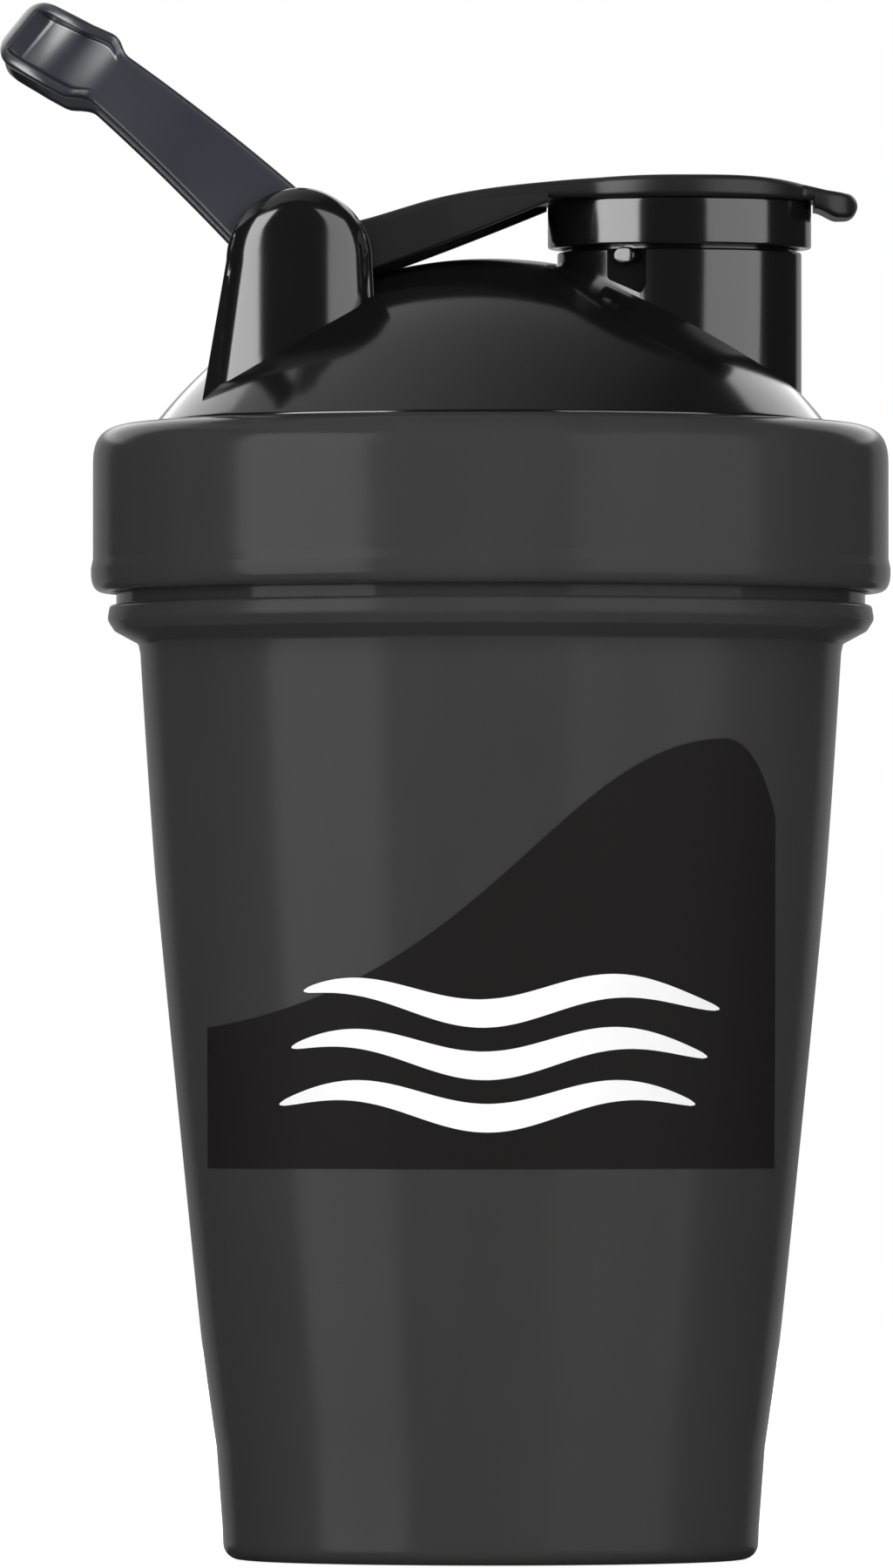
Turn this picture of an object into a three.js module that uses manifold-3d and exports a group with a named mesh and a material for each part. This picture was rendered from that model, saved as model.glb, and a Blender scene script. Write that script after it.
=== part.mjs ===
// Protein shaker bottle: threaded cup, screw-on domed lid, flip cap, carry loop and whisk ball.
// Millimetres, +Z up, +X towards the spout. The origin is the centre of the cup's base.

import * as THREE from 'three';
import { mergeVertices } from 'three/addons/utils/BufferGeometryUtils.js';
import Module from 'manifold-3d';

const wasm = await Module();
wasm.setup();

// ---------------------------------------------------------------- driving dimensions

// Clearances.
const SEAT_GAP = 0.3; // between two pieces that rest on each other
const RUN_GAP = 0.3; // beside a turning piece
const BORE_GAP = 0.1; // round the hinge pin

// Cup.
const FOOT_RADIUS = 33.2;
const FOOT_EDGE = 2.0; // rounding under the foot
const FOOT_HEIGHT = 14; // near-vertical foot
const FOOT_FLARE = 0.9; // how much wider the foot is at its top
const SHOULDER_STEP = 1.6; // the cup under its flange is this much smaller than its neck
const SHOULDER_HEIGHT = 112.6;
const SIDE_BULGE = 0.63; // control point of the side's long curve, from foot to shoulder
const SIDE_BULGE_HEIGHT = 0.405;
const CUP_WALL = 1.6;
const CUP_FLOOR = 2.4;
const FLANGE_REACH = 2.5; // flange beyond the neck
const FLANGE_RISE = 6.0; // from the shoulder to the flange's top
const NECK_RADIUS = 45.2;
const NECK_WALL = 1.8;
const NECK_HEIGHT = 16.6;
const NECK_STEP = 1.4; // the foot of the neck, seen under the collar, is this much wider
const NECK_STEP_RISE = 2.2;
const BASE_RECESS = 0.8; // groove moulded under the base
const BASE_PAD_RADIUS = 9;
const BASE_RING_WIDTH = 6;

// Thread, two starts.
const THREAD_STARTS = 2;
const THREAD_LEAD = 10;
const THREAD_SWEEP = (200 * Math.PI) / 180;
const THREAD_DEPTH = 1.5; // ridge height
const THREAD_ROOT = 2.6; // ridge width at the wall
const THREAD_CREST = 1.2; // ridge width at its top
const THREAD_RADIAL_GAP = 0.6; // crest to the wall that faces it
const THREAD_FLANK_GAP = 0.1; // between the roots of ridges that meet
const THREAD_START_RISE = 6.6; // first ridge above the flange

// Lid collar.
const COLLAR_WALL = 2.2;
const COLLAR_BEAD = 0.25;
const COLLAR_SHOW_GAP = 1.6; // from the flange up to the collar
const COLLAR_LIP = 1.7; // rounding of the lower edge
const COLLAR_CORNER = 6.0; // rounding of the upper edge, along the radius
const COLLAR_CORNER_HEIGHT = 5.0;
const COLLAR_TOP = 1.9;

// Lid dome.
const DOME_RADIUS = 52.7; // radius of the sphere
const DOME_BASE_STEP = 3.9; // the dome's foot is this much smaller than the cup's neck
const DOME_FOOT_RISE = 0.6; // straight foot that shows above the collar
const DOME_WALL = 1.8;
const DOME_FLANGE = 1.9;
const SEAL_HEIGHT = 1.3;

// Spout and its cap.
const SPOUT_X = 23.5;
const SPOUT_BORE = 12.3;
const SPOUT_NECK_WALL = 1.9;
const SPOUT_NECK_INSET = 1.0; // the part inside the cap is this much thinner
const SPOUT_RISE = 4.9; // spout top above the dome's top
const SHOULDER_RISE = 0.7; // spout shoulder above the dome's top
const CAP_SKIRT_WALL = 1.4;
const CAP_SKIRT_GAP = 0.8; // skirt to spout
const CAP_SHOULDER_GAP = 0.5;
const CAP_TOP = 1.6;
const PLUG_WALL = 1.5;
const PLUG_GAP = 0.4;
const PLUG_DEPTH = 3.3;
const NUB_ANGLE = (26 * Math.PI) / 180; // snap nubs, from the sides towards the hinge
const NUB_POCKET_RADIUS = 2.1;
const NUB_POCKET_DEPTH = 1.0;
const NUB_RADIUS = 1.1;

// Hinge.
const HINGE_X = -23.7;
const HINGE_RISE = -1.0; // pivot above the dome's top
const EAR_RADIUS = 9.0;
const EAR_OUTER_Y = 21.8; // middle of the ear's crowned outer face
const EAR_WALL = 4.8; // at the middle
const EAR_CROWN_RADIUS = 16.5; // the outer face is round about a vertical axis
const EAR_FOOT_SPREAD = 3.2; // how far the ear's rear edge leans out at its foot
const EAR_FRONT_SPREAD = 0.9;
const PIN_RADIUS = 1.5;
const PIN_SOCKET = 1.8; // depth of the blind sockets in the ears
const BARREL_RADIUS = 3.8;

// Flip cap arm.
const PLATE_RADIUS = 17.0;
const PLATE_EDGE = 2.0;
const PLATE_CROWN = 1.0; // the plate's middle above its hinge side
const PLATE_REAR = 15; // where the plate's top starts to fall, from the spout's axis
const PLATE_FRONT = 14;
const PLATE_FALL = 0.6; // how far it has fallen there
const ARM_BEND = 29.5; // where the arm turns down, from the spout's axis
const ARM_BEND_FALL = 2.6; // the arm's top below the plate's top, at that bend
const ARM_ROOT_FALL = 5.4; // the same beside the hinge
const ARM_ROOT_OVERLAP = 1.0; // the arm's root reaches this far in between the ears
const ARM_RIB = 1.8;
const RIB_BELLY = 14; // control point of the rib's lower edge, from the hinge
const RIB_BELLY_RISE = 0.6;
const RIB_END = 0.8; // how far the rib reaches below the plate, at the cap
const TAB_REACH = 22.1; // thumb tab from the spout's axis
const TAB_HALF_WIDTH = 7.5;
const TAB_FALL = 2.1; // the tab's top below the plate's top
const TAB_DROP = 3.0; // thickness of the tab
const TAB_NOSE = 1.6; // rounding of its end

// Carry loop.
const LOOP_ANGLE = (141 * Math.PI) / 180; // direction from the hinge, from +X towards +Z
const LOOP_REACH = 46.8;
const LOOP_WALL = 2.8;
const LOOP_CORNER = 8;
const LOOP_PAD_START = 33; // where the wide grip begins
const LOOP_PAD_STEP = 1.2; // length of the step from strap to grip
const LOOP_ROOT = 4.4; // half the strap's height at the hinge
// Edges of the strap and the grip from the pivot's line, below and above it once swung up.
const STRAP_BELOW = 0.8;
const STRAP_ABOVE = 6.4;
const GRIP_BELOW = 2.3;
const GRIP_ABOVE = 7.8;
const TIP_BELOW = 3.8;
const TIP_ABOVE = 5.6;
const LOOP_EYE_RADIUS = 4.8;

// Whisk ball.
const WHISK_RADIUS = 24;
const WIRE_RADIUS = 1.2;
const WHISK_TURNS = 8;
const WHISK_POLE = 0.24; // angle from the pole at which the wire ends, in radians

// Label.
const LABEL_FILM = 0.3;
const LABEL_HALF_WIDTH = 35;
const LABEL_BOTTOM = 48.7;
const LABEL_LEFT = 66;
const LABEL_PEAK = 101.5;
const LABEL_RIGHT = 92;

// Fineness of the round shapes.
const ROUND_STEPS = 48;
const SMALL_STEPS = 32;
const THREAD_STEPS = 20;
const SIDE_STEPS = 9;
const WIRE_STEPS = 16;

// ---------------------------------------------------------------- derived sizes

const SHOULDER_RADIUS = NECK_RADIUS - SHOULDER_STEP;
const FLANGE_RADIUS = NECK_RADIUS + FLANGE_REACH;
const FLANGE_TOP = SHOULDER_HEIGHT + FLANGE_RISE;
const RIM_HEIGHT = FLANGE_TOP + NECK_HEIGHT;
const COLLAR_BORE = NECK_RADIUS + THREAD_DEPTH + THREAD_RADIAL_GAP;
const COLLAR_RADIUS = COLLAR_BORE + COLLAR_WALL;
const SEAL_BOTTOM = RIM_HEIGHT + SEAT_GAP;
const FLANGE_UNDERSIDE = SEAL_BOTTOM + SEAL_HEIGHT + SEAT_GAP;
const COLLAR_CEILING = FLANGE_UNDERSIDE + DOME_FLANGE + SEAT_GAP;
const COLLAR_HEIGHT = COLLAR_CEILING + COLLAR_TOP;
const COLLAR_BOTTOM = FLANGE_TOP + COLLAR_SHOW_GAP;
const DOME_BASE_RADIUS = NECK_RADIUS - DOME_BASE_STEP;
const DOME_DROP = Math.sqrt(DOME_RADIUS ** 2 - DOME_BASE_RADIUS ** 2);
const DOME_CENTRE = COLLAR_HEIGHT + DOME_FOOT_RISE - DOME_DROP;
const DOME_TOP = DOME_CENTRE + DOME_RADIUS;
const SPOUT_TOP = DOME_TOP + SPOUT_RISE;
const CAP_CEILING = SPOUT_TOP + CAP_SHOULDER_GAP;
const CAP_HEIGHT = CAP_CEILING + CAP_TOP;
const SPOUT_NECK = SPOUT_BORE + SPOUT_NECK_WALL;
const SPOUT_RADIUS = SPOUT_NECK + SPOUT_NECK_INSET;
const CAP_BORE = SPOUT_NECK + CAP_SKIRT_GAP;
const CAP_RADIUS = CAP_BORE + CAP_SKIRT_WALL;
const SPOUT_SHOULDER = DOME_TOP + SHOULDER_RISE;
const PLATE_UNDERSIDE = CAP_HEIGHT + SEAT_GAP;
const PLATE_TOP = PLATE_UNDERSIDE + PLATE_EDGE + PLATE_CROWN * 0.7;
const ARM_BEND_X = SPOUT_X - ARM_BEND;
const ARM_BEND_TOP = PLATE_TOP - ARM_BEND_FALL;
const ARM_ROOT_X = HINGE_X + EAR_RADIUS - ARM_ROOT_OVERLAP;
const ARM_ROOT_TOP = PLATE_TOP - ARM_ROOT_FALL;
const TAB_TOP = PLATE_TOP - TAB_FALL;
const HINGE_Z = DOME_TOP + HINGE_RISE;
const EAR_INNER_Y = EAR_OUTER_Y - EAR_WALL;
const LOOP_OUTER_Y = EAR_INNER_Y - RUN_GAP;
const LOOP_INNER_Y = LOOP_OUTER_Y - LOOP_WALL;
const ARM_HALF_WIDTH = LOOP_INNER_Y - RUN_GAP;
const PIN_BORE = PIN_RADIUS + BORE_GAP;

// ---------------------------------------------------------------- helpers

const vec = (x, y) => new THREE.Vector2(x, y);

// A closed three.js geometry as a solid, with its faces turned outwards.
function solid(geometry) {
  const bare = geometry.clone();
  bare.deleteAttribute('normal');
  bare.deleteAttribute('uv');
  const merged = mergeVertices(bare, 1e-4);
  const points = merged.attributes.position.array;
  const index = merged.index.array;
  const triangles = [];
  let volume = 0;
  const a = new THREE.Vector3();
  const b = new THREE.Vector3();
  const c = new THREE.Vector3();
  for (let i = 0; i < index.length; i += 3) {
    const [p, q, r] = [index[i], index[i + 1], index[i + 2]];
    if (p !== q && q !== r && r !== p) {
      triangles.push(p, q, r);
      a.fromArray(points, p * 3);
      b.fromArray(points, q * 3);
      c.fromArray(points, r * 3);
      volume += a.dot(b.cross(c));
    }
  }
  if (volume < 0) triangles.reverse();
  return new wasm.Manifold(
    new wasm.Mesh({
      numProp: 3,
      vertProperties: Float32Array.from(points),
      triVerts: Uint32Array.from(triangles),
    }),
  );
}

// A solid as a named mesh with its own material.
function piece(name, body, finish) {
  const mesh = body.getMesh();
  const geometry = new THREE.BufferGeometry();
  geometry.setAttribute('position', new THREE.BufferAttribute(mesh.vertProperties, 3));
  geometry.setIndex(new THREE.BufferAttribute(mesh.triVerts, 1));
  geometry.computeVertexNormals();
  const result = new THREE.Mesh(geometry, new THREE.MeshStandardMaterial(finish));
  result.name = name;
  return result;
}

// A profile of (radius, height) points turned about a vertical axis at x.
function turned(points, steps = ROUND_STEPS, x = 0) {
  const geometry = new THREE.LatheGeometry(points, steps);
  geometry.rotateX(Math.PI / 2);
  geometry.translate(x, 0, 0);
  return solid(geometry);
}

// A rectangular ring turned about a vertical axis at x; inner may be 0 for a disc.
function ring(inner, outer, low, high, steps = ROUND_STEPS, x = 0) {
  const corners = [vec(inner, low), vec(outer, low), vec(outer, high), vec(inner, high)];
  if (inner > 0) corners.push(vec(inner, low));
  return turned(corners, steps, x);
}

// An outline in the X-Z plane, carried along Y from low to high.
function slab(shape, low, high, curveSteps = 10) {
  const options = { depth: high - low, bevelEnabled: false, curveSegments: curveSteps };
  const geometry = new THREE.ExtrudeGeometry(shape, options);
  geometry.rotateX(Math.PI / 2);
  geometry.translate(0, high, 0);
  return solid(geometry);
}

// An outline in the X-Y plane, carried along Z from low to high.
function plan(shape, low, high, curveSteps = 10) {
  const options = { depth: high - low, bevelEnabled: false, curveSegments: curveSteps };
  const geometry = new THREE.ExtrudeGeometry(shape, options);
  geometry.translate(0, 0, low);
  return solid(geometry);
}

// A round bar along Y at (x, z).
function crossBar(radius, x, z, low, high, steps = 24) {
  const geometry = new THREE.CylinderGeometry(radius, radius, high - low, steps);
  geometry.translate(x, (high + low) / 2, z);
  return solid(geometry);
}

const join = (first, ...others) => others.reduce((sum, body) => sum.add(body), first);

// ---------------------------------------------------------------- cup

// The cup's outer side from the foot's top to the shoulder, moved out by an offset.
function cupSide(offset, steps = SIDE_STEPS) {
  const low = vec(FOOT_RADIUS + FOOT_FLARE, FOOT_HEIGHT);
  const high = vec(SHOULDER_RADIUS, SHOULDER_HEIGHT);
  const curve = new THREE.QuadraticBezierCurve(
    low,
    vec(low.x + (high.x - low.x) * SIDE_BULGE, low.y + (high.y - low.y) * SIDE_BULGE_HEIGHT),
    high,
  );
  return curve.getPoints(steps).map((p) => vec(p.x + offset, p.y));
}

// One helical ridge on a wall. A straight bar is bent round the axis: its length is the angle.
function threadRidge(wall, outward, startAngle, startHeight) {
  const sunk = 0.4;
  const outline = new THREE.Shape([
    vec(-sunk, -THREAD_ROOT / 2),
    vec(THREAD_DEPTH, -THREAD_CREST / 2),
    vec(THREAD_DEPTH, THREAD_CREST / 2),
    vec(-sunk, THREAD_ROOT / 2),
  ]);
  const options = { depth: THREAD_SWEEP, steps: THREAD_STEPS, bevelEnabled: false };
  const geometry = new THREE.ExtrudeGeometry(outline, options);
  const position = geometry.attributes.position;
  const fade = 0.25;
  for (let i = 0; i < position.count; i += 1) {
    const swept = position.getZ(i);
    const nearEnd = Math.min(swept, THREAD_SWEEP - swept);
    const height = position.getX(i) > 0 ? THREAD_DEPTH * Math.min(1, 0.3 + nearEnd / fade) : -sunk;
    const radius = wall + (outward ? height : -height);
    const angle = startAngle + swept;
    const rise = startHeight + (THREAD_LEAD * swept) / (2 * Math.PI);
    position.setXYZ(i, radius * Math.cos(angle), radius * Math.sin(angle), rise + position.getY(i));
  }
  return solid(geometry);
}

// All starts of a thread.
function thread(wall, outward, startHeight) {
  const ridges = [];
  for (let start = 0; start < THREAD_STARTS; start += 1) {
    const angle = (start * 2 * Math.PI) / THREAD_STARTS;
    ridges.push(threadRidge(wall, outward, angle, startHeight));
  }
  return ridges;
}

function makeCup() {
  const padEdge = 0.6;
  const ringInner = FOOT_RADIUS - FOOT_EDGE - BASE_RING_WIDTH;
  const outline = new THREE.Path();
  outline.moveTo(0, 0);
  outline.lineTo(BASE_PAD_RADIUS, 0);
  outline.lineTo(BASE_PAD_RADIUS + padEdge, BASE_RECESS);
  outline.lineTo(ringInner - padEdge, BASE_RECESS);
  outline.lineTo(ringInner, 0);
  outline.lineTo(FOOT_RADIUS - FOOT_EDGE, 0);
  outline.absarc(FOOT_RADIUS - FOOT_EDGE, FOOT_EDGE, FOOT_EDGE, -Math.PI / 2, 0, false);
  const foot = outline.getPoints(5);
  const flange = [
    vec(SHOULDER_RADIUS + 0.3, SHOULDER_HEIGHT + FLANGE_RISE * 0.2),
    vec(FLANGE_RADIUS - 0.9, SHOULDER_HEIGHT + FLANGE_RISE * 0.46),
    vec(FLANGE_RADIUS - 0.1, SHOULDER_HEIGHT + FLANGE_RISE * 0.6),
    vec(FLANGE_RADIUS, SHOULDER_HEIGHT + FLANGE_RISE * 0.75),
    vec(FLANGE_RADIUS - 0.3, FLANGE_TOP - 0.2),
    vec(FLANGE_RADIUS - 0.5, FLANGE_TOP),
  ];
  const neck = [
    vec(NECK_RADIUS + NECK_STEP, FLANGE_TOP),
    vec(NECK_RADIUS + NECK_STEP, FLANGE_TOP + NECK_STEP_RISE),
    vec(NECK_RADIUS, FLANGE_TOP + NECK_STEP_RISE + NECK_STEP),
    vec(NECK_RADIUS, RIM_HEIGHT - 0.4),
    vec(NECK_RADIUS - 0.4, RIM_HEIGHT),
    vec(NECK_RADIUS - NECK_WALL, RIM_HEIGHT),
    vec(NECK_RADIUS - NECK_WALL, SHOULDER_HEIGHT + FLANGE_RISE * 0.5),
  ];
  const inside = cupSide(-CUP_WALL).reverse();
  const floorCorner = 3;
  const floorEdge = FOOT_RADIUS + FOOT_FLARE - CUP_WALL - 0.6;
  const bottom = [
    vec(floorEdge, CUP_FLOOR + floorCorner),
    vec(floorEdge - floorCorner * 0.3, CUP_FLOOR + floorCorner * 0.3),
    vec(floorEdge - floorCorner, CUP_FLOOR),
    vec(0, CUP_FLOOR),
  ];
  const shell = turned([...foot, ...cupSide(0), ...flange, ...neck, ...inside, ...bottom]);
  const ridges = thread(NECK_RADIUS, true, FLANGE_TOP + THREAD_START_RISE);
  return piece('cup_body', join(shell, ...ridges), {
    color: 0x3c3c3c,
    roughness: 0.42,
    metalness: 0,
  });
}

// ---------------------------------------------------------------- label

// A thin film that follows the cup's side, cut to a panel with a wave along its top.
function makeLabel() {
  const inner = cupSide(SEAT_GAP);
  const outer = cupSide(SEAT_GAP + LABEL_FILM).reverse();
  const skin = turned([...inner, ...outer, inner[0]]);
  const panel = new THREE.Shape();
  const peakX = LABEL_HALF_WIDTH * 0.82;
  const rise = LABEL_PEAK - LABEL_LEFT;
  panel.moveTo(-LABEL_HALF_WIDTH, LABEL_BOTTOM);
  panel.lineTo(LABEL_HALF_WIDTH, LABEL_BOTTOM);
  panel.lineTo(LABEL_HALF_WIDTH, LABEL_RIGHT);
  panel.quadraticCurveTo(peakX + 4, LABEL_PEAK, peakX, LABEL_PEAK);
  panel.bezierCurveTo(
    peakX * 0.3,
    LABEL_PEAK - rise * 0.02,
    0,
    LABEL_LEFT + rise * 0.16,
    -LABEL_HALF_WIDTH,
    LABEL_LEFT,
  );
  const reach = SHOULDER_RADIUS + FLANGE_RADIUS;
  const film = skin.intersect(slab(panel, -reach, 0, 12));
  return piece('front_label', film, { color: 0x231f20, roughness: 0.35, metalness: 0 });
}

// ---------------------------------------------------------------- lid collar and seal

function makeCollar() {
  const outside = new THREE.Path();
  const beadRadius = COLLAR_RADIUS + COLLAR_BEAD;
  const beadHeight = COLLAR_BOTTOM + COLLAR_LIP * 1.5;
  const cornerStart = COLLAR_HEIGHT - COLLAR_CORNER_HEIGHT;
  outside.moveTo(beadRadius - COLLAR_LIP, COLLAR_BOTTOM);
  outside.quadraticCurveTo(beadRadius, COLLAR_BOTTOM, beadRadius, beadHeight);
  outside.lineTo(COLLAR_RADIUS, beadHeight + COLLAR_LIP);
  outside.lineTo(COLLAR_RADIUS, cornerStart);
  outside.bezierCurveTo(
    COLLAR_RADIUS,
    COLLAR_HEIGHT - COLLAR_CORNER_HEIGHT * 0.3,
    COLLAR_RADIUS - COLLAR_CORNER * 0.2,
    COLLAR_HEIGHT,
    COLLAR_RADIUS - COLLAR_CORNER,
    COLLAR_HEIGHT,
  );
  const hole = DOME_BASE_RADIUS + SEAT_GAP + 0.1;
  const inside = [
    vec(hole, COLLAR_HEIGHT),
    vec(hole, COLLAR_CEILING),
    vec(COLLAR_BORE, COLLAR_CEILING),
    vec(COLLAR_BORE, COLLAR_BOTTOM),
  ];
  const wall = outside.getPoints(6);
  const shell = turned([...wall, ...inside, wall[0]]);
  // The collar's ridges lie close under the cup's, so that they pull the lid down.
  const below = (THREAD_ROOT + THREAD_CREST) / 2 + THREAD_FLANK_GAP;
  const ridges = thread(COLLAR_BORE, false, FLANGE_TOP + THREAD_START_RISE - below);
  return piece('lid_collar', join(shell, ...ridges), {
    color: 0x3c3c3c,
    roughness: 0.45,
    metalness: 0,
  });
}

function makeSeal() {
  const outer = NECK_RADIUS + 0.3;
  const inner = NECK_RADIUS - NECK_WALL - 0.3;
  const round = 0.3;
  const top = SEAL_BOTTOM + SEAL_HEIGHT;
  const section = [
    vec(inner, SEAL_BOTTOM + round),
    vec(inner + round, SEAL_BOTTOM),
    vec(outer - round, SEAL_BOTTOM),
    vec(outer, SEAL_BOTTOM + round),
    vec(outer, top - round),
    vec(outer - round, top),
    vec(inner + round, top),
    vec(inner, top - round),
  ];
  const seal = turned([...section, section[0]]);
  return piece('lid_seal_ring', seal, { color: 0xb9bcc0, roughness: 0.6, metalness: 0 });
}

// ---------------------------------------------------------------- lid dome

// A dome profile from the axis down to its straight foot.
function domeProfile(radius, footRadius, footHeight) {
  const lowest = Math.asin(Math.min(1, footRadius / radius));
  const steps = 14;
  const points = [];
  for (let i = 0; i <= steps; i += 1) {
    const angle = (lowest * i) / steps;
    points.push(vec(radius * Math.sin(angle), DOME_CENTRE + radius * Math.cos(angle)));
  }
  points.push(vec(footRadius, footHeight), vec(0, footHeight));
  return points;
}

// The side outline of one hinge ear: a round head on a foot that spreads into the dome.
function earOutline() {
  const shape = new THREE.Shape();
  const foot = COLLAR_HEIGHT + 1.0;
  shape.moveTo(HINGE_X - EAR_RADIUS - EAR_FOOT_SPREAD, foot);
  shape.lineTo(HINGE_X + EAR_RADIUS + EAR_FRONT_SPREAD, foot);
  shape.lineTo(HINGE_X + EAR_RADIUS, HINGE_Z);
  shape.absarc(HINGE_X, HINGE_Z, EAR_RADIUS, 0, Math.PI, false);
  return shape;
}

// One ear, cut from a slab by the upright cylinder that crowns its outer face.
function makeEar(side) {
  const near = side * EAR_INNER_Y;
  const far = side * (EAR_OUTER_Y + 1);
  const crown = new THREE.CylinderGeometry(EAR_CROWN_RADIUS, EAR_CROWN_RADIUS, 100, 64);
  crown.rotateX(Math.PI / 2);
  crown.translate(HINGE_X, side * (EAR_OUTER_Y - EAR_CROWN_RADIUS), HINGE_Z);
  return slab(earOutline(), Math.min(near, far), Math.max(near, far)).intersect(solid(crown));
}

function makeDome() {
  const flangeRadius = COLLAR_BORE - SEAT_GAP;
  const cavityFoot = DOME_BASE_RADIUS - DOME_WALL;
  const shell = turned(domeProfile(DOME_RADIUS, DOME_BASE_RADIUS, FLANGE_UNDERSIDE));
  const flange = ring(0, flangeRadius, FLANGE_UNDERSIDE, FLANGE_UNDERSIDE + DOME_FLANGE);
  const spoutFoot = COLLAR_HEIGHT + 2;
  const spout = ring(0, SPOUT_RADIUS, spoutFoot, SPOUT_SHOULDER, SMALL_STEPS, SPOUT_X);
  const spoutNeck = ring(0, SPOUT_NECK, spoutFoot, SPOUT_TOP, SMALL_STEPS, SPOUT_X);
  const ears = [makeEar(-1), makeEar(1)];
  const outer = join(shell, flange, spout, spoutNeck, ...ears);

  const below = FLANGE_UNDERSIDE - 1;
  const cavity = turned(domeProfile(DOME_RADIUS - DOME_WALL, cavityFoot, below));
  const bore = ring(0, SPOUT_BORE, spoutFoot, SPOUT_TOP + 1, SMALL_STEPS, SPOUT_X);
  const socketReach = EAR_INNER_Y + PIN_SOCKET;
  const sockets = crossBar(PIN_BORE, HINGE_X, HINGE_Z, -socketReach, socketReach, 16);
  let dome = outer.subtract(cavity).subtract(bore).subtract(sockets);

  // Two small pockets in the spout under the cap's skirt, each with a round snap nub.
  for (const side of [-1, 1]) {
    const along = SPOUT_X - Math.sin(NUB_ANGLE) * SPOUT_RADIUS;
    const across = side * Math.cos(NUB_ANGLE) * SPOUT_RADIUS;
    const height = SPOUT_SHOULDER - NUB_POCKET_RADIUS - 0.4;
    const pocketGeometry = new THREE.CylinderGeometry(
      NUB_POCKET_RADIUS,
      NUB_POCKET_RADIUS,
      NUB_POCKET_DEPTH * 2,
      16,
    );
    pocketGeometry.rotateZ(side * NUB_ANGLE);
    pocketGeometry.translate(along, across, height);
    const nubGeometry = new THREE.SphereGeometry(NUB_RADIUS, 12, 8);
    nubGeometry.translate(along, across - side * 1.1, height + 0.6);
    dome = dome.subtract(solid(pocketGeometry)).add(solid(nubGeometry));
  }
  return piece('lid_dome', dome, { color: 0x17171a, roughness: 0.14, metalness: 0 });
}

// ---------------------------------------------------------------- flip cap

// The plate's top line from the hinge side to the tab's tip.
function plateTopLine() {
  return new THREE.SplineCurve([
    vec(ARM_ROOT_X, ARM_ROOT_TOP),
    vec(ARM_BEND_X, ARM_BEND_TOP),
    vec(SPOUT_X - PLATE_REAR, PLATE_TOP - PLATE_FALL),
    vec(SPOUT_X, PLATE_TOP),
    vec(SPOUT_X + PLATE_FRONT, PLATE_TOP - PLATE_FALL),
    vec(SPOUT_X + TAB_REACH - TAB_NOSE, TAB_TOP),
  ]);
}

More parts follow.
